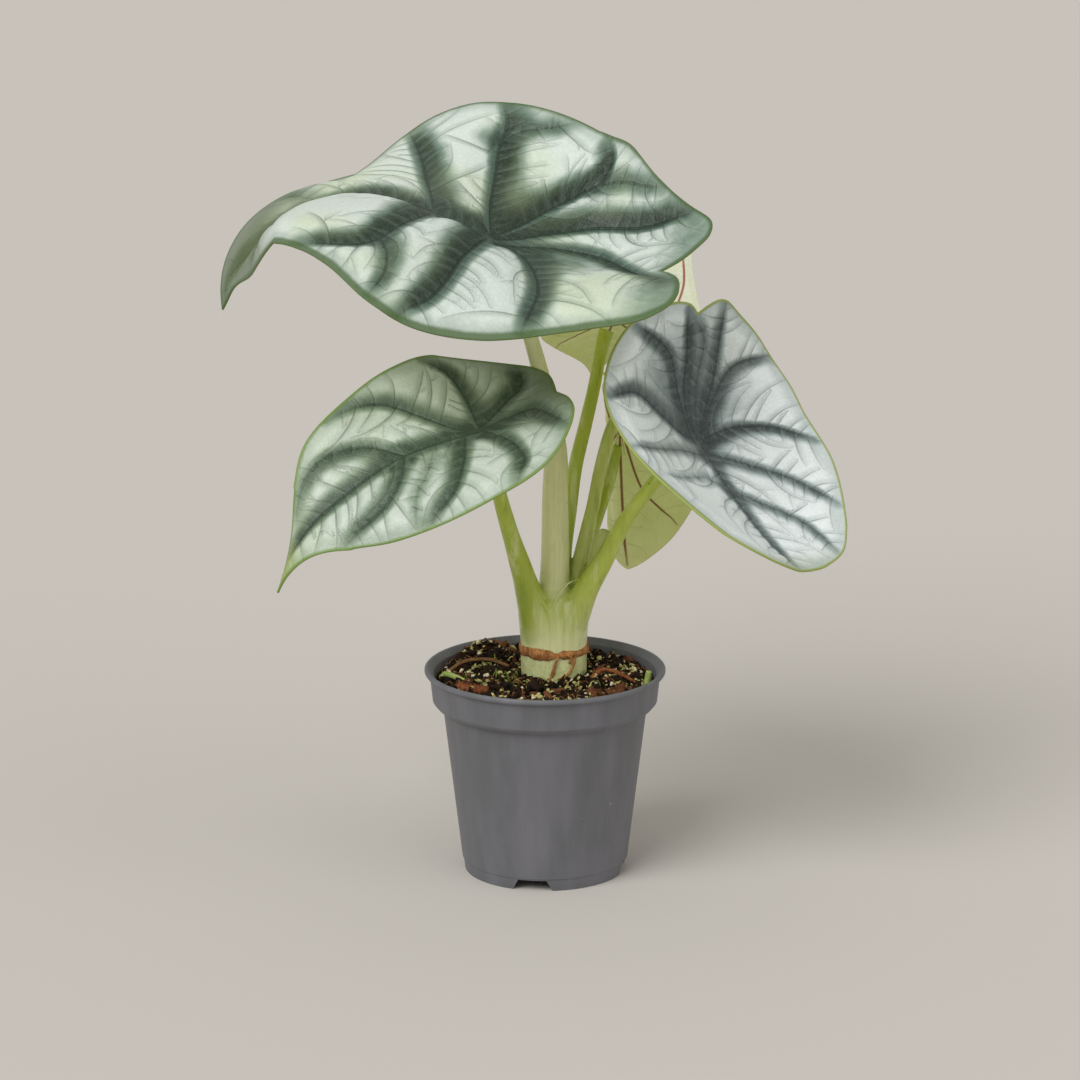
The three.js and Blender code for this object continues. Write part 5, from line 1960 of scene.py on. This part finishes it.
    def _scatter(self, lumps: Lumps) -> bpy.types.Object:
        """Scatters rough lumps over the soil.

        Args:
            lumps: What they are.

        Returns:
            All lumps as one piece.
        """
        random = np.random.default_rng(lumps.seed)
        pick()
        bpy.ops.mesh.primitive_ico_sphere_add(subdivisions=2 if lumps.sizes[1] > 1 else 1, radius=1)
        model = bpy.context.object
        ball = points_of(model)
        corners = np.array([p.vertices[:] for p in model.data.polygons])
        bpy.data.objects.remove(model)
        parts = []
        for _ in range(lumps.count):
            x, y = self._spot(random, clumped=lumps.clumped)
            size = random.uniform(*lumps.sizes) * (0.6 + 0.4 * random.random())
            rough = ball * (1 + random.normal(0, 0.26, (len(ball), 1))) * lumps.form * size
            turned = rough @ self._turn(random).T
            ground = float(self.surface(np.array([x]), np.array([y]))[0])
            parts.append((turned + (x, y, ground + size * 0.25 + lumps.rise), corners, random.random()))
        return self._dressed(lumps, parts)

    def _dressed(self, kind: Lumps | Fibres, parts: list[tuple[Array, Array, float]]) -> bpy.types.Object:
        """Makes one finished piece of all that was scattered.

        Args:
            kind: What was scattered.
            parts: Points in millimetres, faces and lightness of each part.

        Returns:
            The piece.
        """
        count = len(parts[0][0])
        points = placed(np.vstack([part[0] for part in parts]), self.axis)
        faces = np.vstack([part[1] + k * count for k, part in enumerate(parts)])
        piece = mesh_piece(kind.name, points, faces, {"shade": np.repeat([part[2] for part in parts], count)})
        return finished(piece, kind.finish.material(), kind.slot)

    @staticmethod
    def _turn(random: np.random.Generator) -> Array:
        """Draws a turn that stays fairly level.

        Args:
            random: Source of the draws.

        Returns:
            The turn as a matrix.
        """
        a, b, c = random.uniform(0, 2 * math.pi), random.normal(0, 0.5), random.normal(0, 0.5)
        about_z = np.array([[math.cos(a), -math.sin(a), 0], [math.sin(a), math.cos(a), 0], [0, 0, 1]])
        about_x = np.array([[1, 0, 0], [0, math.cos(b), -math.sin(b)], [0, math.sin(b), math.cos(b)]])
        about_y = np.array([[math.cos(c), 0, math.sin(c)], [0, 1, 0], [-math.sin(c), 0, math.cos(c)]])
        return about_z @ about_x @ about_y

    def _strew(self, fibres: Fibres) -> bpy.types.Object:
        """Scatters thin curved fibres over the soil.

        Args:
            fibres: What they are.

        Returns:
            All fibres as one piece.
        """
        random = np.random.default_rng(fibres.seed)
        steps, sides = 9, 4
        parts = []
        ring = round_ring(sides)
        ends = [[3, 2, 1, 0], list((steps - 1) * sides + np.arange(sides))]
        faces = np.vstack([loft(steps, sides), ends])
        for _ in range(fibres.count):
            x, y = self._spot(random, streaked=fibres.streaked)
            heading, bend = random.uniform(0, 2 * math.pi), random.normal(0, 0.16)
            length, radius = random.uniform(3, 9), random.uniform(0.09, 0.22)
            if fibres.streaked:
                heading, length = random.normal(-1.0, 0.6), length * 0.5
            run = np.linspace(0, length, steps)
            angle = heading + bend * run
            px = x + np.concatenate([[0], np.cumsum(np.cos(angle[:-1]) * length / steps)])
            py = y + np.concatenate([[0], np.cumsum(np.sin(angle[:-1]) * length / steps)])
            out = np.hypot(px, py)
            shrink = np.minimum(1, (self.radius - 0.6) / out)
            px, py = px * shrink, py * shrink
            arch = random.uniform(0.1, 1.0)
            pz = self.surface(px, py) + 0.25 + arch * np.sin(run / length * math.pi)
            centre = np.stack([px, py, pz], 1)
            side = np.stack([-np.sin(angle), np.cos(angle), np.zeros(steps)], 1)
            taper = radius * (1 - 0.5 * np.abs(run / length * 2 - 1) ** 2)
            body = (
                centre[:, None] + side[:, None] * (taper[:, None] * np.cos(ring))[..., None]
                + np.array([0, 0, 1.0]) * (taper[:, None] * np.sin(ring))[..., None]
            ).reshape(-1, 3)
            parts.append((body, faces, random.random()))
        return self._dressed(fibres, parts)


@dataclass(frozen=True)
class LitterShape:
    """A thing that lies on the soil: its route, radii and height above the soil at each point."""

    node: str
    route: tuple[Point2, ...]
    radii: tuple[float, ...]
    rise: tuple[float, ...]
    flat: float
    rough: float
    finish: GroundFinish
    slot: str


@dataclass
class Litter:
    """Root, strip, bark, sprout and stub that stand for their CAD nodes."""

    axis: Vector
    soil: SoilBed
    shapes: tuple[LitterShape, ...] = (
        LitterShape("root_right", ((11.5, -3), (14, -0.5), (17, 0), (19.5, -2), (22.5, -3.5)),
                    (0.5, 0.55, 0.5, 0.45, 0.35), (1.4, 2.2, 1.9, 1.8, 1.0), 1.0, 0.12, ROOT, "bark"),
        LitterShape("strip_left", ((-24, 5), (-20, 8), (-14, 8.5), (-9, 5)),
                    (0.5, 0.7, 0.7, 0.5), (1.6, 2.2, 2.3, 1.7), 0.6, 0.1, STRAW, "papery_sheath"),
        LitterShape("bark_left", ((-22, -8), (-18.5, -10.5), (-14, -12)),
                    (1.2, 1.6, 1.1), (0.8, 1.2, 0.8), 0.8, 0.3, ROOT, "bark"),
        LitterShape("sprout", ((-26, 1.5), (-24.5, -1), (-21, -4), (-19, -4.5)),
                    (0.6, 0.7, 0.7, 0.5), (0.8, 1.9, 1.7, 0.6), 1.0, 0.03, SPROUT_SKIN, "sprout"),
        LitterShape("stub_right", ((25, -5.5), (25.3, -5.6), (25.7, -5.8)),
                    (0.9, 0.8, 0.7), (-1.5, 1.5, 4.2), 1.0, 0.03, SPROUT_SKIN, "sprout"),
    )

    def build(self) -> list[bpy.types.Object]:
        """Builds each of them."""
        return [self._build_one(shape) for shape in self.shapes]

    def _build_one(self, shape: LitterShape) -> bpy.types.Object:
        """Makes a tube along the soil and roughens it.

        Args:
            shape: What it is.

        Returns:
            The finished piece.
        """
        plan = np.array(shape.route)
        high = self.soil.height(plan[:, 0], plan[:, 1]) + np.array(shape.rise)
        share = np.linspace(0, 1, 36)
        route = placed(spline(np.column_stack([plan, high]), share, Ends.EXTENDED), self.axis)
        name = shape.node + "_fine"
        piece = tube(name, route, interpolated(shape.radii, share) * MM, 14)
        random = np.random.default_rng(len(shape.node))
        points = points_of(piece)
        centre = route[np.argmin(np.linalg.norm(points[:, None] - route[None], axis=2), axis=1)]
        swell = 1 + random.normal(0, shape.rough, (len(points), 1))
        moved = centre + (points - centre) * swell * (1, 1, shape.flat)
        piece.data.vertices.foreach_set("co", moved.astype(np.float32).ravel())
        piece.data.update()
        piece.name = piece.data.name = name
        add_marks(piece, {"shade": np.full(len(points), 0.5)})
        return finished(piece, shape.finish.material(), shape.slot, shape.node)


@dataclass(frozen=True)
class Strand:
    """A torn strip of old sheath: its angles and heights on the stem base, and its radius along the way."""

    angles: tuple[float, ...]
    heights: tuple[float, ...]
    radii: tuple[float, ...]


@dataclass
class SheathScar:
    """Papery remains of old sheaths: a torn band round the stem base and strands that hang from it."""

    axis: Vector
    stems: Stems
    level: float = 56.0
    width: float = 2.7
    gap: float = 0.12
    thickness: float = 0.25
    strands: tuple[Strand, ...] = (
        Strand((-82, -88, -92, -99), (56.2, 53.8, 51.2, 49.3), (0.4, 0.3, 0.45, 0.2)),
        Strand((-52, -56, -66, -84), (56.2, 53.2, 50.8, 49.8), (0.3, 0.25, 0.3, 0.2)),
        Strand((-70, -60, -62, -58), (56.2, 55.0, 54.0, 53.4), (0.25, 0.4, 0.35, 0.2)),
        Strand((150, 140, 136), (56.5, 54.0, 51.0), (0.4, 0.35, 0.25)),
        Strand((60, 66, 62), (56.5, 54.5, 51.5), (0.45, 0.3, 0.25)),
    )

    def _on_stem(self, angle: Array, height: Array, away: Array) -> Array:
        """Points on the stem base.

        Args:
            angle: Angle of each point round the stem, in radians.
            height: Height of each point.
            away: How far each point is pushed out.

        Returns:
            The points in millimetres.
        """
        table = np.array(self.stems.sections)
        width = np.interp(height, table[:, 0], table[:, 1]) + away
        depth = np.interp(height, table[:, 0], table[:, 2]) + away
        x = self.stems.centre[0] + width * np.cos(angle)
        return np.stack([x, self.stems.centre[1] + depth * np.sin(angle), height], 1)

    def build(self) -> bpy.types.Object:
        """Builds the band and its strands as one piece.

        Returns:
            The papery remains.
        """
        random = np.random.default_rng(3)
        sides = 220
        angle = round_ring(sides)
        ragged, torn = (
            sum(size / k**0.5 * np.sin(k * angle + random.uniform(0, 6.28)) for k in waves)
            for size, waves in ((0.3, (2, 5, 9, 14, 23, 37, 53)), (0.26, (3, 7, 12, 19, 31, 47)))
        )
        narrow = np.exp(-(((angle - math.radians(275)) / 0.16) ** 2))
        narrow = np.maximum(narrow, 0.55 * np.exp(-(((angle - math.radians(320)) / 0.6) ** 2)))
        low = self.level - self.width / 2 * (1 - 0.75 * narrow) + 0.7 * ragged
        high = np.maximum(self.level + self.width / 2 * (1 - 0.75 * narrow) + 0.6 * torn, low + 0.45)
        lift = 0.12 + 0.12 * np.sin(3 * angle + 1) + 0.08 * np.sin(11 * angle)
        middle = (low + high) / 2
        rings = [
            self._on_stem(angle, low, np.full(sides, self.gap)),
            self._on_stem(angle, low, self.gap + self.thickness * 0.6 + lift),
            self._on_stem(angle, middle, self.gap + self.thickness + 0.12 * np.sin(17 * angle)),
            self._on_stem(angle, high, self.gap + self.thickness * 0.5 + 0.3 * lift),
            self._on_stem(angle, high, np.full(sides, self.gap)),
            self._on_stem(angle, middle, np.full(sides, self.gap * 0.4)),
        ]
        faces = loft(len(rings), sides, closed=True)
        parts = [mesh_piece("band", placed(np.vstack(rings), self.axis), faces)]
        for number, strand in enumerate(self.strands):
            share = np.linspace(0, 1, 22)
            plan = spline(np.column_stack([strand.angles, strand.heights]), share, Ends.EXTENDED)
            away = self.gap + 0.35 + 0.25 * np.sin(share * 7)
            route = self._on_stem(np.radians(plan[:, 0]), plan[:, 1], away)
            radii = interpolated(strand.radii, share) * (1 + random.normal(0, 0.14, 22))
            parts.append(tube(f"strand_{number}", placed(route, self.axis), radii * MM, 8))
        scar = join("papery_scar", parts)
        turn_outward(scar)
        add_marks(scar, {"shade": np.random.default_rng(4).random(len(scar.data.vertices))})
        return finished(scar, PAPERY.material(), "papery_sheath", "sheath_scar")


# Studio


@dataclass
class Studio:
    """Pale floor, soft light and the camera of the photo."""

    axis: Vector
    camera_place: Point3 = (-1.245, -1008.67, 345.39)
    camera_tilt: float = 75.5
    lens: float = 140.6
    floor_radius: float = 14.0
    floor_colour: str = "c8c3bc"
    sky_colour: str = "f4f2ef"
    sky_strength: float = 0.53

    def build(self) -> None:
        """Sets the floor, the lights, the camera and the view."""
        scene = bpy.context.scene
        pick()
        bpy.ops.mesh.primitive_circle_add(
            vertices=96, radius=self.floor_radius, fill_type="NGON", location=(0, 0, 0),
        )
        floor = bpy.context.object
        floor.name = floor.data.name = "floor"
        paint = Shader("pale floor").finish(self.floor_colour, 0.9, Specular_IOR_Level=0.2)
        floor.data.materials.append(paint)
        world = bpy.data.worlds.new("studio")
        world.use_nodes = True
        sky = world.node_tree.nodes["Background"]
        sky.inputs["Color"].default_value = linear(self.sky_colour)
        sky.inputs["Strength"].default_value = self.sky_strength
        scene.world = world
        self._lamp("key", (-0.5, -0.62, 0.75), 40, 2.05)
        self._lamp("fill", (0.8, -0.5, 0.45), 60, 0.5)
        camera = bpy.data.objects.new("camera", bpy.data.cameras.new("camera"))
        scene.collection.objects.link(camera)
        camera.location = Vector(self.camera_place) * MM + self.axis
        camera.rotation_euler = (math.radians(self.camera_tilt), 0, 0)
        camera.data.lens = self.lens
        camera.data.sensor_width = 36
        camera.data.clip_end = 20
        scene.camera = camera
        scene.view_settings.view_transform = "Standard"
        scene.view_settings.look = "None"

    @staticmethod
    def _lamp(name: str, place: Point3, spread: float, strength: float) -> None:
        """Adds a broad soft lamp.

        Args:
            name: Name of the lamp.
            place: Direction that it shines from.
            spread: How wide it looks, in degrees.
            strength: Strength of its light.
        """
        data = bpy.data.lights.new(name, "SUN")
        data.angle = math.radians(spread)
        data.energy = strength
        lamp = bpy.data.objects.new(name, data)
        bpy.context.scene.collection.objects.link(lamp)
        lamp.location = place
        lamp.rotation_euler = (-Vector(place)).to_track_quat("-Z", "Y").to_euler()


def main() -> None:
    """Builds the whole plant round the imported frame."""
    logging.basicConfig(level=logging.INFO, format="%(message)s")
    low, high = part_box("pot")
    axis = Vector(((low.x + high.x) / 2, (low.y + high.y) / 2, 0))
    Studio(axis).build()
    NurseryPot(axis).build()
    soil = SoilBed(axis)
    soil.build()
    Litter(axis, soil).build()
    stems = Stems(axis)
    stems.build()
    SheathScar(axis, stems).build()
    for name, (shape, finish) in LEAVES.items():
        LeafBlade(name, shape, finish, axis).build()
    bpy.context.view_layer.update()


if __name__ == "__main__":
    main()
